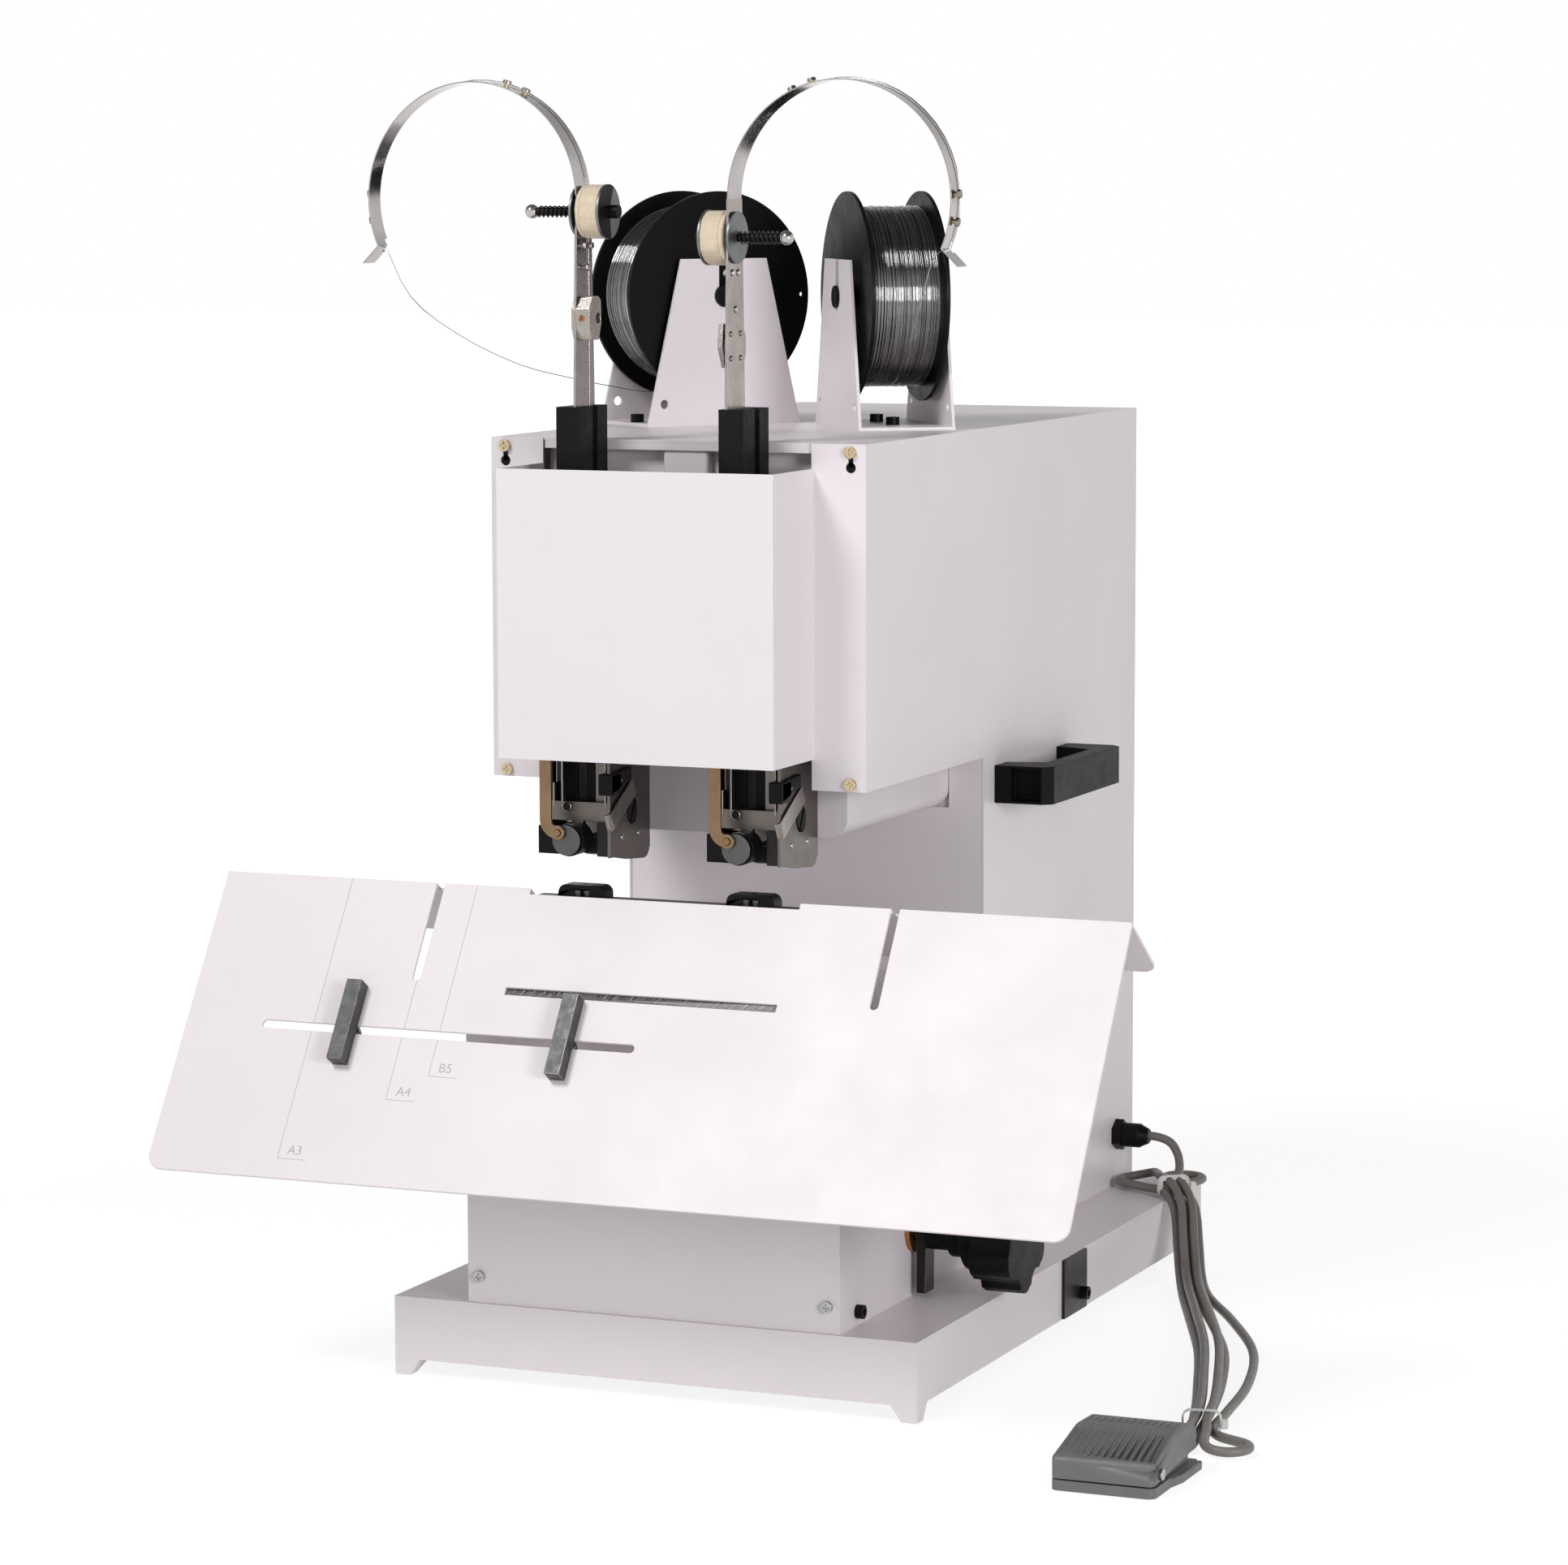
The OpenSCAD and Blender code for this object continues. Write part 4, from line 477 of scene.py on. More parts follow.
def block(low, high):
    """A box between two corners in mm."""
    middle = [(a + b) / 2 for a, b in zip(low, high)]
    bpy.ops.mesh.primitive_cube_add(size=1, location=metres(middle))
    piece = bpy.context.active_object
    piece.scale = metres([b - a for a, b in zip(low, high)])
    return settle(piece)


def box(xs, ys, zs):
    """A box by its reach in X, Y and Z in mm."""
    return block(*zip(xs, ys, zs))


def rod(start, end, radius, end_radius=None, sides=32):
    """A round bar between two points in mm, tapered where it has a second radius."""
    way = metres(end) - metres(start)
    bpy.ops.mesh.primitive_cone_add(
        vertices=sides,
        radius1=radius * MM,
        radius2=(radius if end_radius is None else end_radius) * MM,
        depth=way.length,
        location=(metres(start) + metres(end)) / 2,
        rotation=way.to_track_quat("Z", "Y").to_euler(),
    )
    return settle(bpy.context.active_object)


def pin(start, end, y, z, radius, end_radius=None, sides=32):
    """A rod along X."""
    return rod((start, y, z), (end, y, z), radius, end_radius, sides)


def plate_of(outline, way):
    """A plate from the corners of one face, drawn out along a way, all in mm."""
    bpy.ops.mesh.primitive_circle_add(vertices=len(outline), fill_type="NGON")
    piece = bpy.context.active_object
    for corner, place in zip(piece.data.vertices, outline):
        corner.co = metres(place)
    edit()
    bpy.ops.mesh.extrude_region_move(TRANSFORM_OT_translate={"value": tuple(metres(way))})
    bpy.ops.mesh.select_all(action="SELECT")
    bpy.ops.mesh.normals_make_consistent(inside=False)
    end_edit()
    return piece


def cut_sheet(outline, low, high):
    """A plate whose outline is given in Y and Z, between two places in X, all in mm."""
    return plate_of([(low, y, z) for y, z in outline], (high - low, 0, 0))


def ribbon(stations, thickness):
    """A bent strip: pairs of edge points in mm along its length, given a thickness."""
    count = len(stations)
    bpy.ops.mesh.primitive_grid_add(x_subdivisions=count - 1, y_subdivisions=1)
    piece = bpy.context.active_object
    for k, corner in enumerate(piece.data.vertices):
        corner.co = metres(stations[k % count][k // count])
    wall = piece.modifiers.new("wall", "SOLIDIFY")
    wall.thickness = thickness * MM
    wall.offset = 0
    return apply_all(piece)


def cut_away(piece, tool):
    """Takes a tool's shape out of a piece."""
    only(piece)
    cut = piece.modifiers.new("cut", "BOOLEAN")
    cut.object = tool
    cut.operation = "DIFFERENCE"
    cut.solver = "EXACT"
    bpy.ops.object.modifier_apply(modifier=cut.name)
    bpy.data.objects.remove(tool)
    return piece


def joined(name, parts):
    bpy.ops.object.select_all(action="DESELECT")
    for part in parts:
        part.select_set(True)
    bpy.context.view_layer.objects.active = parts[0]
    if len(parts) > 1:
        bpy.ops.object.join()
    parts[0].name = name
    return parts[0]


def tint(piece, finishes, rule):
    """Gives each face the finish whose number the rule finds from the face's middle in mm and its normal."""
    paint(piece, finishes)
    for face in piece.data.polygons:
        face.material_index = rule(face.center / MM, face.normal)
    return piece


# Cord of the foot pedal: the lead from the gland, a hank of five runs, and the tail into the pedal

CORD_D = 5.9
GLAND_END, GLAND_Y, GLAND_Z = 146.7, 276.827, 83.5
PEDAL_X, PEDAL_BACK, CORD_IN_Z = 328.0, -264.0, 15.0
STRAND_LIFT = 4.5
LEAD = [
    (GLAND_END - 8, GLAND_Y, GLAND_Z), (GLAND_END + 6, GLAND_Y, GLAND_Z), (162.5, 275.5, 80.5),
    (169, 271, 74), (173, 263.5, 67.5),
]
HANK_SPINE = [
    (174, 246, 54.2), (180, 238.5, 53), (189, 227, 45.5), (198, 207, 27), (206, 188, 11),
    (218, 158, STRAND_LIFT), (246, 88, STRAND_LIFT), (280, 2, STRAND_LIFT), (308, -84, STRAND_LIFT),
    (328, -150, STRAND_LIFT), (338, -193, STRAND_LIFT),
]
TAIL = [
    (338, -226, 11.2), (332, -246, 13.5),
    (PEDAL_X, PEDAL_BACK + 2, CORD_IN_Z), (PEDAL_X, PEDAL_BACK - 7, CORD_IN_Z),
]
RUN_PLACE = [(3.6, 6.7), (7.2, 0), (0, 0), (-7.2, 0), (-3.6, 6.7)]
RUN_SWELL = [2, 20, 9, 0, 0]
RUN_STEPS, LINE_STEPS = 10, 6
SWELL_START, SWELL_LENGTH, SWELL_END = 0.45, 0.53, 0.98
WAY_STEP = 0.03
LOOP_R = 13.0
FLAT_LOOP = [0.0] * 6
TIE_PLACES = [0.012, 0.985]


def arc_points(out, side, start, end, lift):
    """Part of a loop round a middle: steps out, to the side and up."""
    made = []
    for k, up in enumerate(lift):
        a = math.radians(start + (end - start) * k / (len(lift) - 1))
        made.append((out + LOOP_R * math.cos(a), side + LOOP_R * math.sin(a), up))
    return made


LOOP_LOW_RIGHT = [(14, 4.9, 5.2), *arc_points(37, 18.8, -72, 122, [1.6, 0.5, 0, 0, 0, 0]), (14, 13, 0)]
LOOP_TOP_RIGHT = [(14, 14.5, 0), *arc_points(36, 21, 122, -72, FLAT_LOOP), (14, 3.2, 0)]
LOOP_LOW_LEFT = [(14, -0.6, 0), *arc_points(36, -15, 72, -122, FLAT_LOOP), (14, -12.6, 0)]
LOOP_TOP_LEFT = [(14, -14, 0), *arc_points(38, -10.5, -118, 72, [0, 0, 0, 0.5, 2, 4.2]), (14, -3, 6.5)]


def slope(u, v, du, dv):
    return u / du - (u + v) / (du + dv) + v / dv


def smooth_line(points, steps):
    """A smooth curve through points, in steps, where close points bend no harder than far ones."""
    points = [Vector(p) for p in points]
    last = len(points) - 1
    made = []
    for i in range(last):
        b, c = points[i], points[i + 1]
        v = c - b
        u = b - points[i - 1] if i else v
        w = points[i + 2] - c if i + 2 <= last else v
        du, dv, dw = (math.sqrt(step.length) for step in (u, v, w))
        m, n = slope(u, v, du, dv) * dv, slope(v, w, dv, dw) * dv
        for k in range(steps):
            t = k / steps
            made.append(
                (2 * t**3 - 3 * t * t + 1) * b + (t**3 - 2 * t * t + t) * m
                + (3 * t * t - 2 * t**3) * c + (t**3 - t * t) * n
            )
    return made + [points[last]]


SPINE = smooth_line(HANK_SPINE, LINE_STEPS)


def spine_at(t):
    n = len(SPINE) - 1
    i = min(int(t * n), n - 1)
    return SPINE[i].lerp(SPINE[i + 1], t * n - i)


def spine_way(t):
    return (spine_at(min(t + WAY_STEP, 1)) - spine_at(max(t - WAY_STEP, 0))).normalized()


def spine_side(t):
    way = spine_way(t)
    return Vector((-way.y, way.x, 0)).normalized()


def spine_up(t):
    return spine_way(t).cross(spine_side(t))


def swell(t):
    """How far along its swelling a run has come: 0 at both ends of it, 1 in its middle."""
    if not SWELL_START <= t < SWELL_END:
        return 0.0
    return math.sin(math.pi * (t - SWELL_START) / SWELL_LENGTH) ** 2


def run_points(k):
    made = []
    for j in range(RUN_STEPS + 1):
        t = j / RUN_STEPS if k % 2 == 0 else 1 - j / RUN_STEPS
        aside = RUN_PLACE[k][0] + RUN_SWELL[k] * swell(t)
        made.append(spine_at(t) + aside * spine_side(t) + RUN_PLACE[k][1] * spine_up(t))
    return made


def loop_points(t, shape):
    way = spine_way(t) * (-1 if t < 0.5 else 1)
    way.z = 0
    side, middle = spine_side(t), spine_at(t)
    return [middle + out * way + aside * side + Vector((0, 0, up)) for out, aside, up in shape]


def cord_route():
    hank = run_points(0)
    for k, loop in enumerate((LOOP_LOW_RIGHT, LOOP_TOP_RIGHT, LOOP_LOW_LEFT, LOOP_TOP_LEFT)):
        hank += loop_points(1 - k % 2, loop) + run_points(k + 1)
    return [p * MM for p in smooth_line(LEAD + hank + TAIL, LINE_STEPS)]


def make_cord():
    route = cord_route()
    cord = tube_along("pedal_cord", route, CORD_D / 2 * MM, 4)
    dress(cord, CORD_JACKET)
    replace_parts(cord, "cord_ends", "cord_hank")
    make_ties() + [make_pedal_base()]


TIE_W, TIE_HALF, TIE_LOW, TIE_HIGH, TIE_ROUND, TIE_T = 3.2, 10.7, -3.2, 9.95, 4.0, 1.05
TIE_HEAD, TIE_HEAD_PLACE, TIE_EDGE = (4.8, 4.0, 5.0), (0, TIE_HALF + 2.9, 2.5), 0.35


def make_ties():
    """Two nylon straps pulled round the hank, each with its square head."""
    made = []
    for number, t in enumerate(TIE_PLACES):
        way, side = spine_way(t), spine_side(t)
        up = way.cross(side)
        stand = Matrix((way, side, up)).transposed().to_4x4()
        stand.translation = spine_at(t)
        bpy.ops.mesh.primitive_cube_add(size=1)
        strap = bpy.context.active_object
        strap.scale = (TIE_W, 2 * TIE_HALF, TIE_HIGH - TIE_LOW)
        strap.location = (0, 0, (TIE_HIGH + TIE_LOW) / 2)
        settle(strap)
        edit("DESELECT")
        end_edit()
        for edge in strap.data.edges:
            a, b = (strap.data.vertices[v].co for v in edge.vertices)
            edge.select = abs(a.x - b.x) > 1
        bpy.ops.object.mode_set(mode="EDIT")
        bpy.ops.mesh.select_mode(type="EDGE")
        bpy.ops.mesh.bevel(offset=TIE_ROUND, segments=5)
        bpy.ops.mesh.select_all(action="DESELECT")
        bpy.ops.mesh.select_mode(type="FACE")
        end_edit()
        for face in strap.data.polygons:
            face.select = abs(face.normal.x) > 0.9
        bpy.ops.object.mode_set(mode="EDIT")
        bpy.ops.mesh.delete(type="FACE")
        end_edit()
        wall = strap.modifiers.new("wall", "SOLIDIFY")
        wall.thickness = TIE_T
        wall.offset = 1
        apply_all(strap)
        bpy.ops.mesh.primitive_cube_add(size=1, location=TIE_HEAD_PLACE)
        head = bpy.context.active_object
        head.scale = TIE_HEAD
        settle(head)
        round_edges(joined(f"cord_tie_{number + 1}", [strap, head]), TIE_EDGE / MM)
        strap.data.transform(Matrix.Scale(MM, 4) @ stand)
        dress(strap, TIE_NYLON)
        made.append(strap)
    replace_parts(made[0], "cable_ties")
    return made


PEDAL_FRONT, PEDAL_PLATE = -340.0, 6.0
BASE_CORNER, CORNER_STEPS, CREASE = 5.0, 6, 0.4
RIM_WALL, RIM_HOLLOW, RIM_GAP = (27.2, -322, -268.4), (25.4, -320, -270.2), (13, -272, -260)
RIM_FOOT, RIM_TOP = 0.6, 6.4
FLARE = [(358, -318), (362.5, -298), (362.5, -264.2), (358, -264.2)]
FLARE_LIFT, FLARE_DROP = 0.1, 0.6


def round_picked(piece, is_picked, width):
    """Rounds the sharp edges that a rule picks by their two ends in mm."""
    sides = {}
    for face in piece.data.polygons:
        for key in face.edge_keys:
            sides.setdefault(key, []).append(face.normal.copy())
    only(piece)
    bpy.ops.object.mode_set(mode="EDIT")
    bpy.ops.mesh.select_mode(type="EDGE")
    bpy.ops.mesh.select_all(action="DESELECT")
    end_edit()
    for edge in piece.data.edges:
        a, b = (piece.data.vertices[k].co / MM for k in edge.vertices)
        beside = sides.get(edge.key, [])
        is_sharp = len(beside) == 2 and beside[0].angle(beside[1]) > CREASE
        edge.select = is_sharp and is_picked(a, b)
    bpy.ops.object.mode_set(mode="EDIT")
    bpy.ops.mesh.bevel(offset=width * MM, segments=CORNER_STEPS, affect="EDGES", clamp_overlap=False)
    end_edit()


def is_base_edge(a, b):
    """The plate's two upright front edges."""
    in_front = max(a.y, b.y) < PEDAL_FRONT + 0.1
    return in_front and abs(a.x - b.x) < 0.1 and max(a.z, b.z) < PEDAL_PLATE + 0.1


def rim_block(size, low, high):
    """A box on the base plate: half its width about the pedal's middle, its front and its back."""
    half, front, back = size
    return block((PEDAL_X - half, front, PEDAL_PLATE + low), (PEDAL_X + half, back, PEDAL_PLATE + high))


def make_pedal_base():
    """The base plate with its rim under the treadle, and the flare behind its right side."""
    base = merged_copy("pedal_base", GREY_PLASTIC)
    round_picked(base, is_base_edge, BASE_CORNER)
    round_edges(base, 0.6)
    stand_for(base, "pedal_base")
    rim = rim_block(RIM_WALL, -RIM_FOOT, RIM_TOP)
    for hollow in (RIM_HOLLOW, RIM_GAP):
        cut_away(rim, rim_block(hollow, -0.2, RIM_TOP + 2.6))
    finished("pedal_rim", rim, 0.4, GREY_PLASTIC)
    flare = plate_of([(x, y, FLARE_LIFT) for x, y in FLARE], (0, 0, PEDAL_PLATE - FLARE_DROP))
    finished("pedal_flare", flare, 1.0, GREY_PLASTIC, 3)
    return base


make_cord()


# Solids kept in shape, by finish and slot, each with the rounding of its edges in mm.
# A star stands for left and right, and a pair of finishes is for the faces and the edges.

KEPT = [
    (PAINT, "white_paint", {
        "base_tray": 1.0, "body_cover": 0.9, "rear_cover": 0.5, "throat_panel": 0.5, "lower_cover": 0.9,
        "front_guard": 0.8, "saddle_table": 0.45, "table_brackets": 0.4, "spool_bracket_*": 0.5,
    }),
    (DARK_STEEL, "dark_steel", {"base_side_plate": 0.4, "head_ram_*": 0.4}),
    (CAST_PAINT, "cast_paint", {"frame_casting": 1.5}),
    (GILT, "steel", {"guard_screws": 0.3}),
    (ZINC, "steel", {"cover_screws": 0.3, "tension_bolts": 0.3, "pedal_pin": 0.3}),
    (BLACK_PLASTIC, "dark_steel", {"cap_screws": 0.3, "clinchers": 0.8}),
    ((STOP_FACE, WORN_EDGE), "dark_steel", {"stop_bar_*": 0.5}),
    (IRON, "iron", {"anvil_guide": 0.5, "anvil_arm": 0.5, "drive_motor": 1.0, "rocker_beam": 0.8}),
    (BRONZE, "bronze", {"shaft_bush": 0.4}),
    ((DARK_STEEL, WORN_EDGE), "dark_steel", {"adjuster_shaft": 0.5}),
    (GRIP, "black_plastic", {"adjuster_knob": 1.2}),
    (STEEL, "steel", {"head_frame_*": 0.3, "cam_shaft": 0.5}),
    (STIPPLED, "iron", {"head_post_*": 0.8}),
    (ZINC_GREY, "steel", {"wire_turner_*": 0.4}),
    (BRASS, "brass", {"feed_bar_*": 0.4}),
    (MAST_NICKEL, "nickel", {"wire_mast_*": 0.2}),
    (POLISHED, "nickel", {"tension_arc_*": 0.06}),
    (WIRE_STEEL, "wire", {"stitch_wire_*": 0.01}),
    (BLACK_PLASTIC, "black_plastic", {"spool_axles": 0.5, "cable_gland": 0.5}),
    (SPOOL_PLASTIC, "black_plastic", {"spool_*": 0.5}),
]
PIECES = {}
for finish, slot, edges in KEPT:
    for nodes, width in edges.items():
        for node in [nodes.replace("*", name) for name in SIDE_NAME] if "*" in nodes else [nodes]:
            PIECES[node] = softened(node, width, finish)


# Carry handles: each with a moulded pocket in the front of its leg

POCKET_X, POCKET_Y, POCKET_Z = (133.6, 153.4), (30, 45.4), (339.8, 360.2)


def make_handles():
    for sign, name in zip(SIDE_SIGN, SIDE_NAME):
        node = f"carry_handle_{name}"
        handle = merged_copy(node, GRIP)
        cut_away(handle, box(sorted(sign * x for x in POCKET_X), POCKET_Y, POCKET_Z))
        stand_for(round_edges(handle, 1.0, 3), node)


make_handles()


# Behind the guard: an inner wall with a boss, the housing's front lip, and black inlays in the flanges'
# keyholes that paint the shade inside them

HOUSE_FRONT, FLANGE_SHEET, HOUSE_TOP = -180.173, 1.5, 576.0
WALL_PARTS = [  # reach in X, depth behind the front, reach in Z, edge, steps
    ((-88, 88), (9, 11), (500, HOUSE_TOP - 1.8), 0.4, 2),
    ((-10, 20), (1.6, 10), (500, HOUSE_TOP - 1.8), 2.5, 4),
    ((-87.6, 87.6), (0.1, 1.7), (HOUSE_TOP - 6.2, HOUSE_TOP - 1.2), 0.5, 2),
]
KEY_X, KEY_HIGH, KEY_DROP, KEY_R, KEY_HALF = 113.0, 571.0, 9.0, 3.15, 1.58
FOOT_SCREW, FOOT_SCREW_R, FOOT_SOCKET_R = (-96.5, -23.5), 4.3, 2.3
FOOT_SCREW_Z, FOOT_SOCKET_Z = (577.4, 583.2), (580.4, 584)


def make_inner_wall():
    parts = []
    for xs, depths, zs, edge, steps in WALL_PARTS:
        part = box(xs, [HOUSE_FRONT + depth for depth in depths], zs)
        parts.append(round_edges(part, edge, steps))
    dress(joined("inner_wall", parts), PAINT)


def make_keyhole_shade():
    """Black inlays in the keyhole slots under the guard's upper screws: painted shade inside the holes."""
    front, back, low = HOUSE_FRONT - FLANGE_SHEET + 0.7, HOUSE_FRONT - 0.05, KEY_HIGH - KEY_DROP
    parts = []
    for x in (-KEY_X, KEY_X):
        slot = box((x - KEY_HALF, x + KEY_HALF), (front, back), (low, KEY_HIGH))
        parts.append(round_edges(rod((x, front, low), (x, back, low), KEY_R), 0.1, 1))
        parts.append(round_edges(slot, 0.1, 1))
    # The black inlays are painted shade, so that the keyholes read dark.
    dress(joined("keyhole_painted_shade", parts), BLACK_PLASTIC)


def make_foot_screw():
    """A socket screw in the left bracket's foot."""
    head = rod(*((*FOOT_SCREW, z) for z in FOOT_SCREW_Z), FOOT_SCREW_R, sides=40)
    cut_away(head, rod(*((*FOOT_SCREW, z) for z in FOOT_SOCKET_Z), FOOT_SOCKET_R, sides=6))
    finished("foot_screw", head, 0.4, BLACK_PLASTIC, 3)


make_inner_wall()
make_keyhole_shade()
make_foot_screw()


# Heads: finishes by place, then the small parts of the left head, each copied to the right one.
# Their X is from the head's middle; outlines are in Y and Z.

HEAD_X, HEAD_PITCH = -55.5, 111.0
PLATE_OUT, PLATE_EDGE, BLACK_TOP, BLACK_BACK = 24.0, 2.6, 345.5, -170
TURNER_FRONT, BRASS_DEPTH = -221.873, 0.45
LEVER_START, LEVER_END = Vector((-177.0, 366.2)), Vector((-209.6, 348.0))
LEVER_HALF, LEVER_T, LEVER_OUT, LEVER_BEND, LEVER_TURN = 5.9, 1.3, PLATE_OUT + 0.75, 2.6, 14
CLAMP_FRONT = ((17.6, 26.6), (-213.4, -199.0), (363.8, 376.6))
CLAMP_SIDE = [(-213.0, 364.2), (-184.0, 371.4), (-184.0, 379.0), (-213.0, 376.2)]
CHANNEL = [
    ((-15.8, -9.2), (-201.2, -199.9), (355.2, 394)),
    ((-15.8, -14.8), (-206.4, -200.0), (355.2, 369.6)),
    ((-10.2, -9.2), (-206.4, -200.0), (355.2, 394)),
]
TONGUE_X, TONGUE_Y, TONGUE_Z, TONGUE_R = -6.2, (-207.4, -205.4), 355.4, 3.0
CHEEK = [((10.6, 19.4), (-201.4, -198.6), (355.6, 396)), ((18.2, 19.4), (-206.2, -198.6), (355.6, 396))]
SHOE = [(-206.0, 327.6), (-200.0, 326.0), (-170.0, 326.0), (-170.0, 338.0), (-206.0, 338.0)]
FLANGE = ((14.2, 22.6), (-208.6, -205.7), (326.0, 346.5))
SKIRT = [(-209.6, 326.4), (-152.2, 327.4), (-153.3, 323.8), (-156.0, 320.8), (-160.0, 319.9), (-186.0, 322.2)]
PLATE_SCREW = (PLATE_OUT + 0.4, -177.873, 351.1, 7.6, 2.4, 62)
SMALL_SCREWS = [(PLATE_OUT + 0.5, y, 336.4, 1.9, 0.7, angle) for y, angle in ((-192.9, 15), (-168.9, 70))]
DOT_X, DOT_Y, DOT_Z = (26.0, 26.7), -198.6, 371.8
SKIRT_X = (PLATE_OUT - 1.9, PLATE_OUT - 0.02)


def head_finish(middle, normal):
    local = (middle.x + HEAD_PITCH) % HEAD_PITCH - HEAD_PITCH / 2
    is_black = middle.z < BLACK_TOP and local < PLATE_OUT - PLATE_EDGE and middle.y < BLACK_BACK
    return 1 if is_black else 0


def turner_finish(middle, normal):
    if middle.y < TURNER_FRONT - BRASS_DEPTH:
        return 2
    return 0 if normal.y < -0.8 else 1


for side in SIDE_NAME:
    tint(PIECES[f"head_frame_{side}"], (PLATE_STEEL, BLACK_PLASTIC), head_finish)
    tint(PIECES[f"wire_turner_{side}"], (TURNER_FACE, BLACK_PLASTIC, BRASS), turner_finish)


def at_head(x, y, z):
    return (HEAD_X + x, y, z)


def head_box(xs, ys, zs):
    return box([HEAD_X + x for x in xs], ys, zs)


def head_sheet(outline, low, high):
    return cut_sheet(outline, HEAD_X + low, HEAD_X + high)


def make_lever():
    """A bent strip across the side plate, folded in at its front end."""
    way = (LEVER_END - LEVER_START).normalized()
    across = Vector((-way.y, way.x)) * -LEVER_HALF
    line = [(LEVER_OUT, LEVER_START.lerp(LEVER_END, share)) for share in (0, 0.5, 1)]
    for k in range(1, 8):
        a = math.radians(LEVER_TURN * k)
        line.append((LEVER_OUT - LEVER_BEND * (1 - math.cos(a)), LEVER_END + way * LEVER_BEND * math.sin(a)))
    return ribbon([(at_head(x, *(at + across)), at_head(x, *(at - across))) for x, at in line], LEVER_T)


def make_clamp():
    """The black arm that reaches round to the side plate."""
    return joined("clamp", [head_box(*CLAMP_FRONT), head_sheet(CLAMP_SIDE, PLATE_OUT + 0.1, PLATE_OUT + 2.6)])


def make_channel():
    """A wire channel beside the driver, with a rounded tongue at its foot; its faces are blackened steel, and
    the bright nickel on its rounded edges partly paints its two highlight lines on top of the light those
    edges catch.
    """
    front, back = (at_head(TONGUE_X, y, TONGUE_Z) for y in TONGUE_Y)
    return joined("channel", [head_box(*part) for part in CHANNEL] + [rod(front, back, TONGUE_R)])


def make_cheek():
    return joined("cheek", [head_box(*part) for part in CHEEK])


def slotted_head(out, y, z, radius, height, slot_turn):
    """A slotted screw head that faces right."""
    head = rod(at_head(out - height, y, z), at_head(out, y, z), radius, radius - 0.5)
    slot = block((-2, -radius - 1, -0.14 * radius), (2, radius + 1, 0.14 * radius))
    slot.data.transform(Matrix.Translation(metres(at_head(out + 0.8, y, z))) @ turn(slot_turn, "X"))
    return round_edges(cut_away(head, slot), 0.25)


def make_small_screws():
    """Two bright screws in the side plate and a dot on the clamp."""
    screws = [slotted_head(*screw) for screw in SMALL_SCREWS]
    start, end = (at_head(x, DOT_Y, DOT_Z) for x in DOT_X)
    return joined("bright", screws + [rod(start, end, 1.1, 0.7, 16)])


HEAD_PARTS = [  # name, way to make it, edge in mm, steps, finish, slot
    ("head_lever", make_lever, 0.35, 2, STEEL, "steel"),
    ("head_clamp", make_clamp, 0.7, 3, BLACK_PLASTIC, "dark_steel"),
    # The channel's bright nickel edges are partly painted highlights, added to the real light on its rounded
    # edges.
    ("wire_channel", make_channel, 0.35, 2, (DARK_STEEL, NICKEL), "nickel"),
    ("head_cheek", make_cheek, 0.35, 2, (PLATE_STEEL, NICKEL), "steel"),
    ("head_shoe", lambda: head_sheet(SHOE, 3.6, 21.8), 0.8, 3, BLACK_PLASTIC, "dark_steel"),
    ("head_flange", lambda: head_box(*FLANGE), 0.5, 2, DARK_STEEL, "dark_steel"),
    ("head_skirt", lambda: head_sheet(SKIRT, *SKIRT_X), 0.3, 2, PLATE_STEEL, "steel"),
    ("plate_screw", lambda: slotted_head(*PLATE_SCREW), None, 0, BLACK_PLASTIC, "dark_steel"),
    ("small_screws", make_small_screws, None, 0, ZINC, "steel"),
]


def make_heads():
    for name, make, edge, steps, finish, slot in HEAD_PARTS:
        piece = dress(make(), finish)
        if edge:
            round_edges(piece, edge, steps, isinstance(finish, tuple))
        piece.name = name + "_left"
        twin = copy_of(piece, name + "_right", Matrix.Translation((HEAD_PITCH * MM, 0, 0)))
        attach(twin, "machine")


make_heads()


# Clinchers: two small teeth in each window, and a dark iron bar under both, painted shade that shows in the
# ridge's notch

CLINCHER_TOP, STITCH_Y = 306.8, -193.873
TOOTH_OUT, TOOTH_Y, TOOTH_DROP, TOOTH_R = 3.2, (4.6, 4.2), (9.2, 3.4), (1.3, 2.7)
NOTCH_SHADE_BAR = ((-86.4, 86.4), (-199.2, -188.4), (293.2, 299.2))


def make_teeth():
    teeth = []
    for head in SIDE_SIGN:
        for tooth in SIDE_SIGN:
            x = head * HEAD_PITCH / 2 + TOOTH_OUT * tooth
            low, high = ((x, STITCH_Y - y, CLINCHER_TOP - drop) for y, drop in zip(TOOTH_Y, TOOTH_DROP))
            teeth.append(rod(low, high, *TOOTH_R, 24))
    return joined("clincher_teeth", teeth)


finished("clincher_teeth", make_teeth(), 0.4, TURNER_FACE, body="anvil")
# The dark bar is painted shade: it darkens the notch where only shade shows.
finished("notch_shade_bar", box(*NOTCH_SHADE_BAR), 0.4, IRON, body="anvil")


# Tension bolts: dull washers, black rods, bright nuts

MAST_X, MAST_T, BOLT_Y = 49.0, 1.5, -205.873
FELT_R, FELT_Z = 16.3, (712.5, 697.5)
WASHER_HOLE = 5.5
BOLT_CAP, BALL_R, BALL_OUT, BALL_FLAT = 79.3, 4.3, 3.2, 3.7


def bolt_finish(middle, normal):
    z = FELT_Z[LEFT] if middle.x < 0 else FELT_Z[RIGHT]
    return 0 if math.hypot(middle.y - BOLT_Y, middle.z - z) > WASHER_HOLE else 1


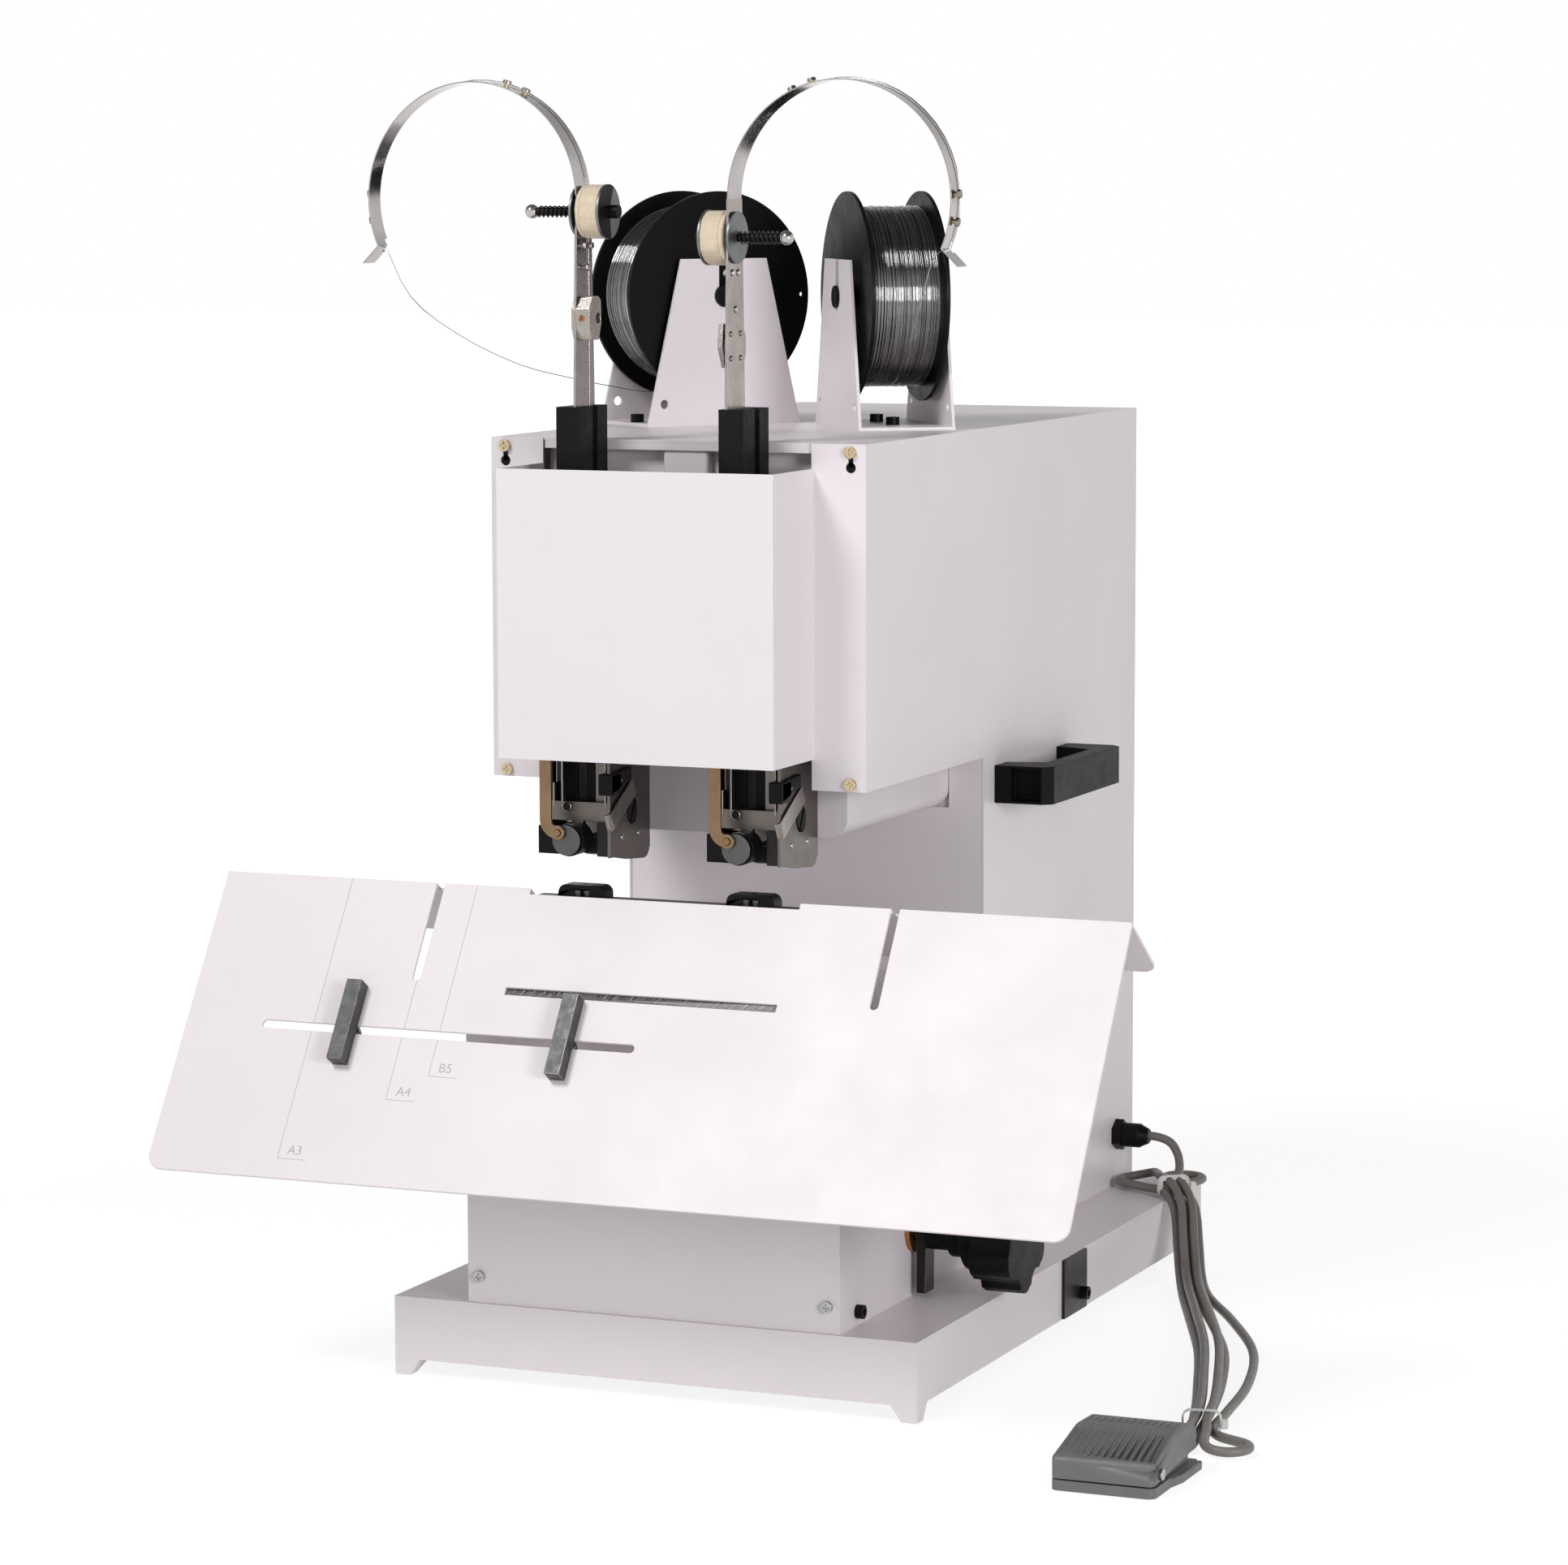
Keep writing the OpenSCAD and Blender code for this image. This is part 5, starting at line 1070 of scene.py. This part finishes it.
def make_ball_nut(side):
    """A domed nut on a collar at the end of a tension bolt, in place of its plain one."""
    sign, z = SIDE_SIGN[side], FELT_Z[side]
    cut, foot, neck, middle, past = (sign * (BOLT_CAP + out) for out in (-0.6, -0.2, 0.7, BALL_OUT, 20))
    cut_away(PIECES["tension_bolts"], pin(cut, past, BOLT_Y, z, 9))
    collar = round_edges(pin(foot, neck, BOLT_Y, z, 3.0, 3.5), 0.2)
    place = metres((middle, BOLT_Y, z))
    bpy.ops.mesh.primitive_uv_sphere_add(segments=32, ring_count=20, radius=BALL_R * MM, location=place)
    ball = settle(bpy.context.active_object)
    for corner in ball.data.vertices:
        out = sign * corner.co.x / MM - BOLT_CAP - BALL_OUT
        corner.co.x = sign * (BOLT_CAP + BALL_OUT + min(out, BALL_FLAT)) * MM
    smooth_over(ball, 50)
    dress(joined(f"ball_nut_{SIDE_NAME[side]}", [ball, collar]), NICKEL)


both(make_ball_nut)
tint(PIECES["tension_bolts"], (ZINC_GREY, BLACK_PLASTIC), bolt_finish)


# Screws of the tension arcs, and pins on the masts

ARC_CENTRE_X, ARC_CENTRE_Z, ARC_REACH = 118.5, 720.0, 69.9
ARC_SCREWS = (106.3, 117.0, 2.5, -10.5)
MAST_PINS = [
    [(-4.5, 692.5), (4.0, 692.5), (-1.0, 679.6)],
    [(-4.5, 677.0), (4.0, 677.0), (0.0, 655.5)],
]


def make_arc_screw():
    """A small cheese-head screw on a brass neck; it stands up along Z at the origin."""
    neck = rod((0, 0, -0.3), (0, 0, 1.6), 1.5, sides=20)
    head = rod((0, 0, 1.4), (0, 0, 3.3), 2.9, 2.5, 28)
    cut_away(head, block((-4, -0.4, 2.6), (4, 0.4, 4)))
    screw = joined("arc_screw", [round_edges(neck, 0.1), round_edges(head, 0.3)])
    return tint(screw, (GILT, STEEL), lambda middle, normal: 1 if middle.z > 1.5 else 0)


def make_arc_screws():
    first = make_arc_screw()
    for sign, name in zip(SIDE_SIGN, SIDE_NAME):
        parts = []
        for angle in ARC_SCREWS:
            a = math.radians(angle)
            x = sign * (ARC_CENTRE_X + ARC_REACH * math.cos(a))
            place = metres((x, BOLT_Y, ARC_CENTRE_Z + ARC_REACH * math.sin(a)))
            lean = turn(sign * (90 - angle), "Y")
            parts.append(copy_of(first, "part", Matrix.Translation(place) @ lean))
        screws = joined(f"arc_screws_{name}", parts)
        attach(screws, "machine")
    bpy.data.objects.remove(first)


def make_mast_pins(side):
    """Small double-headed pins through a mast that lead the wire."""
    parts = []
    inner, neck, end, outer = (SIDE_SIGN[side] * (MAST_X + out) for out in (-4.6, -3.0, 0.9, 1.9))
    for y, z in MAST_PINS[side]:
        y += BOLT_Y
        parts.append(round_edges(pin(inner, neck, y, z, 1.9, 2.2, 20), 0.25))
        parts.append(pin(neck, end, y, z, 1.2, sides=16))
        parts.append(round_edges(pin(end, outer, y, z, 2.2, 1.7, 20), 0.25))
    pins = joined(f"mast_pins_{SIDE_NAME[side]}", parts)
    dress(smooth_over(pins, 40), NICKEL)


make_arc_screws()
both(make_mast_pins)


# Straighteners: a chamfered block on the left mast, a plate with grooved rollers on the right one

BLOCK_Z, BLOCK_FRONT, BLOCK_PROUD = (649.5, 634.0), -214.37, 3.6
BLOCK = [(0, -6), (0, 5.6), (4.6, 12.9), (13.6, 12.9), (17, 10.5), (17, -4), (13.4, -12.9), (3.2, -12.9)]
BLOCK_OUTER, BLOCK_INNER, GRUB_X, SIDE_SCREW_Y = -51.6, -39.6, -44.6, -205.4
PLATE = [(0, -0.5), (2, 13), (13, 13), (17, 6), (17, -6), (13, -13), (6.5, -13)]
PLATE_X, ROLLER_X, ROLLER_Y, ROLLER_UP = (41.4, 44.8), [(44.9, 46.5), (46.4, 48.1)], BLOCK_FRONT + 6.4, 8.7
BULGE = [(-199, 15), (-194, 11.5), (-190.6, 5), (-190.3, -4), (-192.6, -9), (-195.4, -14), (-199, -15)]
BULGE_HALF = 0.72
BLOCK_SCREWS, BLOCK_SCREW_X, BLOCK_SCREW_R = (-7.2, 7.2), (47.6, 50.0, 50.7), (1.75, 1.1)


def make_block():
    """The left block with its grub screw in front and a slotted screw in its side."""
    x, y, z, front = BLOCK_INNER, SIDE_SCREW_Y, BLOCK_Z[LEFT], BLOCK_FRONT - BLOCK_PROUD

    def from_front(start, end, radius, sides=32):
        return rod((GRUB_X, front + start, z), (GRUB_X, front + end, z), radius, sides=sides)

    body = cut_sheet([(front + back, z + up) for back, up in BLOCK], BLOCK_OUTER, x)
    cut_away(body, from_front(-1, 3, 1.9))
    cut_away(body, pin(x - 1.4, x + 1, y, z, 3.1))
    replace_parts(finished("straightener_left", body, 0.35, CAST_NICKEL), "straighteners")
    grub = cut_away(from_front(0.9, 2.9, 1.85), from_front(-1, 2.2, 1.15, 6))
    finished("grub_screw", grub, 0.15, BRONZE)
    groove = box((x - 0.9, x + 1), (y - 4, y + 4), (z - 0.4, z + 0.4))
    screw = cut_away(pin(x - 1.5, x - 0.3, y, z, 3.0, 2.7), groove)
    finished("block_screw", screw, 0.2, DARK_STEEL)


def make_plate():
    """The right plate, its rollers and the bulge of the mast behind them."""
    z = BLOCK_Z[RIGHT]
    plate = cut_sheet([(BLOCK_FRONT + y, z + up) for y, up in PLATE], *PLATE_X)
    finished("straightener_right", plate, 0.4, CAST_NICKEL)
    rollers = []
    for up in (-ROLLER_UP, ROLLER_UP):
        for start, end in ROLLER_X:
            rollers.append(round_edges(pin(start, end, ROLLER_Y, z + up, 5.2, sides=40), 0.5, 3))
    dress(joined("rollers_right", rollers), BLACK_PLASTIC)
    bulge = cut_sheet([(y, z + up) for y, up in BULGE], MAST_X - BULGE_HALF, MAST_X + BULGE_HALF)
    finished("mast_bulge", bulge, 0.2, MAST_NICKEL)


def make_block_screws(side):
    """Riveted screw ends on the outer side of a mast."""
    foot, rim, end = (SIDE_SIGN[side] * x for x in BLOCK_SCREW_X)
    radius, end_radius = BLOCK_SCREW_R
    ends = []
    for y in BLOCK_SCREWS:
        for up in BLOCK_SCREWS:
            place = (BOLT_Y + y, BLOCK_Z[side] + up)
            ends += [pin(foot, rim, *place, radius, sides=20), pin(rim, end, *place, radius, end_radius, 20)]
    name = f"block_screws_{SIDE_NAME[side]}"
    finished(name, joined(name, ends), 0.1, STEEL, 1)


make_block()
make_plate()
both(make_block_screws)


# Foot pedal: the rounded treadle, its ribs and bumps

TREADLE_TOP = [(PEDAL_FRONT, 19.27), (-296.0, 30.0), (-276.0, 29.5), (-264.0, 26.0)]
TREADLE_HALF, TREADLE_ROUND = 30.5, 3.4
NOSE_DEPTH, NOSE_LOW = 3.1, 17.9
RIBS, RIB_PITCH, RIB_FIRST, RIB_HALF, RIB_SINK, RIB_RISE = 13, 4.28, 300.6, 0.6, 0.6, 0.8
RIB_ROWS = [(0, -333.5, -304.0), (1.2, -292.0, -279.5)]
BUMPS, BUMP_FIRST, BUMP_ROWS, BUMP_R = 11, RIB_FIRST + 5, (-299.6, -296.6), (1.3, 0.8)


def is_treadle_edge(a, b):
    """The treadle's upper side edges, its front edge and its upright front corners."""
    in_front = max(a.y, b.y) < PEDAL_FRONT + 0.1
    upright = abs(a.x - b.x) < 0.1
    beside = upright and abs(abs(a.x - PEDAL_X) - TREADLE_HALF) < 0.05
    if min(a.z, b.z) > TREADLE_TOP[0][1] - 0.1:
        return beside or in_front
    return beside and in_front


def make_treadle():
    """The treadle with a full front edge and its outer sides well rounded."""
    treadle = merged_copy("pedal_treadle", GREY_PLASTIC)
    for corner in treadle.data.vertices:
        x, y, z = corner.co / MM
        if y < PEDAL_FRONT + NOSE_DEPTH and z > NOSE_LOW:
            corner.co = metres((x, *TREADLE_TOP[0]))
    only(treadle)
    edit()
    bpy.ops.mesh.remove_doubles(threshold=0.01 * MM)
    bpy.ops.mesh.dissolve_degenerate(threshold=0.01 * MM)
    end_edit()
    round_picked(treadle, is_treadle_edge, TREADLE_ROUND)
    stand_for(round_edges(treadle, 0.8, 3), "pedal_treadle")


def top_height(y):
    """The height of the treadle's top at a place in Y."""
    for (y0, z0), (y1, z1) in zip(TREADLE_TOP, TREADLE_TOP[1:]):
        if y0 <= y <= y1:
            return z0 + (z1 - z0) * (y - y0) / (y1 - y0)
    return TREADLE_TOP[-1][1]


def make_rib(x, start, end):
    rib = box((x - RIB_HALF, x + RIB_HALF), (start, end), (-RIB_SINK, RIB_RISE))
    for corner in rib.data.vertices:
        corner.co.z += top_height(corner.co.y / MM) * MM
    return round_edges(rib, 0.4)


def make_ribs():
    parts = []
    for k in range(RIBS):
        for shift, start, end in RIB_ROWS:
            parts.append(make_rib(RIB_FIRST + RIB_PITCH * k + shift, start, end))
    for k in range(BUMPS):
        x = BUMP_FIRST + RIB_PITCH * k
        for y in BUMP_ROWS:
            bump = rod((x, y, top_height(y) - 0.5), (x, y, top_height(y) + 0.6), *BUMP_R, 8)
            parts.append(round_edges(bump, 0.2, 1))
    dress(joined("pedal_ribs", parts), GREY_PLASTIC, "treadle")


make_treadle()
make_ribs()


# Wound wire: one strand laid turn by turn over the spool, on a plain core

BRACKET_X, BRACKET_Y, BRACKET_TURN = (-71.9, 54.7), 20.0, 36.3
AXLE_RISE = 81.6
PLUG_X, PLUG_Y, PLUG_Z, PLUG_R = (29.15, 30.9), 43.85, 14 - AXLE_RISE, 2.95
WOUND_R, SPOOL_W, FLANGE_T = 57.0, 50.0, 2.5
WIRE_D, WIRE_PITCH, TURN_STEPS = 0.6, 0.66, 56


def bracket_stand(side):
    place = Matrix.Translation((BRACKET_X[side], BRACKET_Y, HOUSE_TOP + AXLE_RISE))
    return Matrix.Scale(MM, 4) @ place @ turn(SIDE_SIGN[side] * BRACKET_TURN, "Z")


def make_plug():
    """A painted plug in the rear foot hole of the left bracket's right cheek."""
    plug = round_edges(pin(*PLUG_X, PLUG_Y, PLUG_Z, PLUG_R), 0.15, 1)
    plug.name = "bracket_plug"
    plug.data.transform(bracket_stand(LEFT) @ Matrix.Scale(1 / MM, 4))
    dress(plug, PAINT)


make_plug()


def lay_height(lap):
    """How high a turn of wire rides on the ones below, in mm: it changes from turn to turn."""
    return 0.32 * math.sin(1.31 * lap) + 0.24 * math.sin(2.17 * lap + 1) + 0.16 * math.sin(4.3 * lap + 2)


def winding_points():
    half = SPOOL_W / 2 - FLANGE_T - 0.4
    turns = int(2 * half / WIRE_PITCH)
    points = []
    for k in range(turns * TURN_STEPS + 1):
        a = 2 * math.pi * k / TURN_STEPS
        lap = k / TURN_STEPS
        wander = 0.16 * math.sin(lap * 1.7) + 0.14 * math.sin(a * 0.37)
        r = WOUND_R - 1.15 + lay_height(lap) + 0.08 * math.sin(a * 1.13 + lap)
        points.append(Vector((-half + WIRE_PITCH * lap + wander, r * math.cos(a), r * math.sin(a))))
    return points


def make_winding(side):
    strand = as_mesh(tube_along(f"wound_wire_{SIDE_NAME[side]}", winding_points(), WIRE_D / 2, 1))
    only(strand)
    bpy.ops.object.shade_smooth()
    half = SPOOL_W / 2 - FLANGE_T - 0.1
    under = pin(-half, half, 0, 0, WOUND_R - 2.2, sides=96)
    under.data.transform(Matrix.Scale(1 / MM, 4))
    smooth_over(under, 50)
    wound = joined(strand.name, [strand, under])
    wound.data.transform(bracket_stand(side))
    dress(wound, WOUND_STEEL, f"reel_{SIDE_NAME[side]}")
    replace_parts(wound, f"winding_{SIDE_NAME[side]}")


both(make_winding)


# Tension springs and felts on the masts

SPRING_R, SPRING_WIRE, SPRING_LEN, SPRING_CURLS, CURL_STEPS = (3.1, 3.5), 0.9, 25.0, 9, 24
WASHER_T, WASHER_GAP = 1.5, 0.35


def make_spring(side):
    start = MAST_X + MAST_T / 2 + WASHER_GAP + WASHER_T + SPRING_WIRE / 2 + 0.2
    rise = (SPRING_LEN + 1.2) / SPRING_CURLS
    points = []
    for k in range(CURL_STEPS * SPRING_CURLS + 1):
        a = 2 * math.pi * k / CURL_STEPS
        x = SIDE_SIGN[side] * (start + rise * k / CURL_STEPS)
        y, z = SPRING_R[side] * math.cos(a), SPRING_R[side] * math.sin(a)
        points.append(metres((x, BOLT_Y + y, FELT_Z[side] + z)))
    spring = as_mesh(tube_along(f"tension_spring_{SIDE_NAME[side]}", points, SPRING_WIRE / 2 * MM, 2))
    return dress(smooth_over(spring, 60), DARK_STEEL)


springs = both(make_spring)
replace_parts(springs[0], "tension_springs")


FELT_FACE, BOLT_R = 47.35, 2.6
FELT_LAYERS = [(0.0, 2.6, 0.985), (2.6, 14.0, 1.0)]  # start and end in mm, share of the radius


def ragged(angle, turn_by):
    """How far a felt rim stands in or out at an angle, in mm."""
    coarse = 0.16 * math.sin(5 * angle + turn_by) + 0.12 * math.sin(11 * angle + 2.3 * turn_by)
    return coarse + 0.08 * math.sin(23 * angle)


def make_felt(side):
    """Two layers of pressed felt on the inner side of a mast, slightly ragged at their rims."""
    layers = []
    for number, (start, end, share) in enumerate(FELT_LAYERS):
        x0, x1 = (SIDE_SIGN[side] * (FELT_FACE - depth) for depth in (start, end))
        layer = pin(x0, x1, BOLT_Y, FELT_Z[side], FELT_R * share - 0.35, sides=96)
        cut_away(layer, pin(x0 - 9, x0 + 9, BOLT_Y, FELT_Z[side], BOLT_R))
        round_edges(layer, 0.5, 3)
        for corner in layer.data.vertices:
            y, z = corner.co.y / MM - BOLT_Y, corner.co.z / MM - FELT_Z[side]
            reach = math.hypot(y, z)
            if reach > FELT_R / 2:
                grown = 1 + ragged(math.atan2(z, y), 1.7 * number + side) / reach
                corner.co.y, corner.co.z = (BOLT_Y + y * grown) * MM, (FELT_Z[side] + z * grown) * MM
        layers.append(layer)
    felt = joined(f"felt_{SIDE_NAME[side]}", layers)
    dress(felt, FELT)
    return felt


felts = both(make_felt)
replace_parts(felts[0], "felt_discs")


# Table marks: fine printed lines with their feet and sizes

TABLE_ANGLE, RIDGE_Y, RIDGE_Z = 56.7, -201.473, 303.6
MARKS = [  # label, X, start and end down the slope in mm
    ("A3", -210.0, 0.0, 188.0),
    ("A4", -148.5, 66.0, 145.0),
    ("B5", -124.5, 0.0, 128.0),
]
SLOT_S, SLOT_HALF = 101.0, 2.9
LINE_HALF, LINE_T, LINE_RISE, FOOT_W = 0.18, 0.08, 0.02, 19
LETTER_SIZE, LETTER_T, LETTER_PLACE = 8.5, 0.04, (5.5, 3.0)
FRONT_SLOPE = Matrix.Translation((0, RIDGE_Y, RIDGE_Z)) @ turn(TABLE_ANGLE, "X")


def make_mark(label, x, start, end):
    strips = [
        (x - LINE_HALF, x + LINE_HALF, start, SLOT_S - SLOT_HALF),
        (x - LINE_HALF, x + LINE_HALF, SLOT_S + SLOT_HALF, end),
        (x, x + FOOT_W, end - LINE_HALF, end + LINE_HALF),
    ]
    parts = []
    for x0, x1, s0, s1 in strips:
        bpy.ops.mesh.primitive_cube_add(size=1, location=((x0 + x1) / 2, -(s0 + s1) / 2, LINE_RISE))
        strip = bpy.context.active_object
        strip.scale = (x1 - x0, s1 - s0, LINE_T)
        parts.append(settle(strip))
    bpy.ops.object.text_add(location=(x + LETTER_PLACE[0], -end + LETTER_PLACE[1], 0.0))
    words = bpy.context.active_object
    words.data.body = label
    words.data.size = LETTER_SIZE
    words.data.extrude = LETTER_T
    mark = joined("table_mark_" + label.lower(), [*parts, settle(as_mesh(words))])
    mark.data.transform(Matrix.Scale(MM, 4) @ FRONT_SLOPE)
    dress(mark, INK)


for mark in MARKS:
    make_mark(*mark)


# Studio

FLOOR_SIZE, FLOOR_DROP, FLOOR_TONE = 40, 0.0005, 0.9
GLOW, GLOW_REACH, NEAR_GLOW = 1.17, (0.7, 1.8), 0.74


def seen_rays(tree):
    """Which rays come from the camera or off a shiny face, and the node that tells rays apart."""
    path = add_node(tree, "LightPath")
    return math_node(tree, "MAXIMUM", path.outputs["Is Camera Ray"], path.outputs["Is Glossy Ray"]), path


def make_floor():
    """A white floor that glows to the eye, less so near the machine."""
    bpy.ops.mesh.primitive_plane_add(size=FLOOR_SIZE, location=(0, 0, -FLOOR_DROP))
    floor = bpy.context.active_object
    floor.name = "studio_floor"
    made = bpy.data.materials.new("studio floor")
    made.use_nodes = True
    tree = made.node_tree
    tree.nodes.clear()
    matt = add_node(tree, "BsdfDiffuse")
    feed(tree, matt.inputs["Color"], (FLOOR_TONE,) * 3)
    glow = add_node(tree, "Emission")
    feed(tree, glow.inputs["Color"], (1, 1, 1))
    feed(tree, glow.inputs["Strength"], GLOW)
    away = add_node(tree, "VectorMath", "LENGTH")
    feed(tree, away.inputs[0], add_node(tree, "TexCoord").outputs["Object"])
    share = spread_node(tree, away.outputs["Value"], *GLOW_REACH, NEAR_GLOW, 1.0)
    mix = add_node(tree, "MixShader")
    feed(tree, mix.inputs["Fac"], math_node(tree, "MULTIPLY", seen_rays(tree)[0], share))
    feed(tree, mix.inputs[1], matt.outputs[0])
    feed(tree, mix.inputs[2], glow.outputs[0])
    feed(tree, add_node(tree, "OutputMaterial").inputs["Surface"], mix.outputs[0])
    floor.data.materials.append(made)


AMBIENT = 0.28
DARK_ABOVE, CEILING = (0.22, 0.6), 0.12


def make_world():
    world = bpy.data.worlds.new("studio")
    bpy.context.scene.world = world
    world.use_nodes = True
    tree = world.node_tree
    back = tree.nodes["Background"]
    feed(tree, back.inputs["Color"], (1, 1, 1))
    seen, path = seen_rays(tree)
    shown = math_node(tree, "MAXIMUM", seen, path.outputs["Is Transmission Ray"])
    parts = add_node(tree, "SeparateXYZ")
    feed(tree, parts.inputs[0], add_node(tree, "TexCoord").outputs["Generated"])
    sky = spread_node(tree, parts.outputs["Z"], *DARK_ABOVE, 1.0, CEILING)
    feed(tree, back.inputs["Strength"], spread_node(tree, shown, 0.0, 1.0, AMBIENT, sky))


LAMP_AIM = Vector((0, 0, 0.35))
LAMPS = [  # name, place and size in m, watts
    ("key", (-0.9, -2.3, 2.7), 0.9, 55.5),
    ("fill", (2.7, -1.9, 0.9), 0.9, 41.0),
]


def make_lamps():
    for name, place, size, watts in LAMPS:
        light = bpy.data.lights.new(name, "AREA")
        light.size = size
        light.energy = watts
        lamp = linked(name, light)
        lamp.location = place
        lamp.rotation_euler = (LAMP_AIM - Vector(place)).to_track_quat("-Z", "Y").to_euler()


make_floor()
make_world()
make_lamps()
bpy.context.scene.view_settings.view_transform = "Standard"
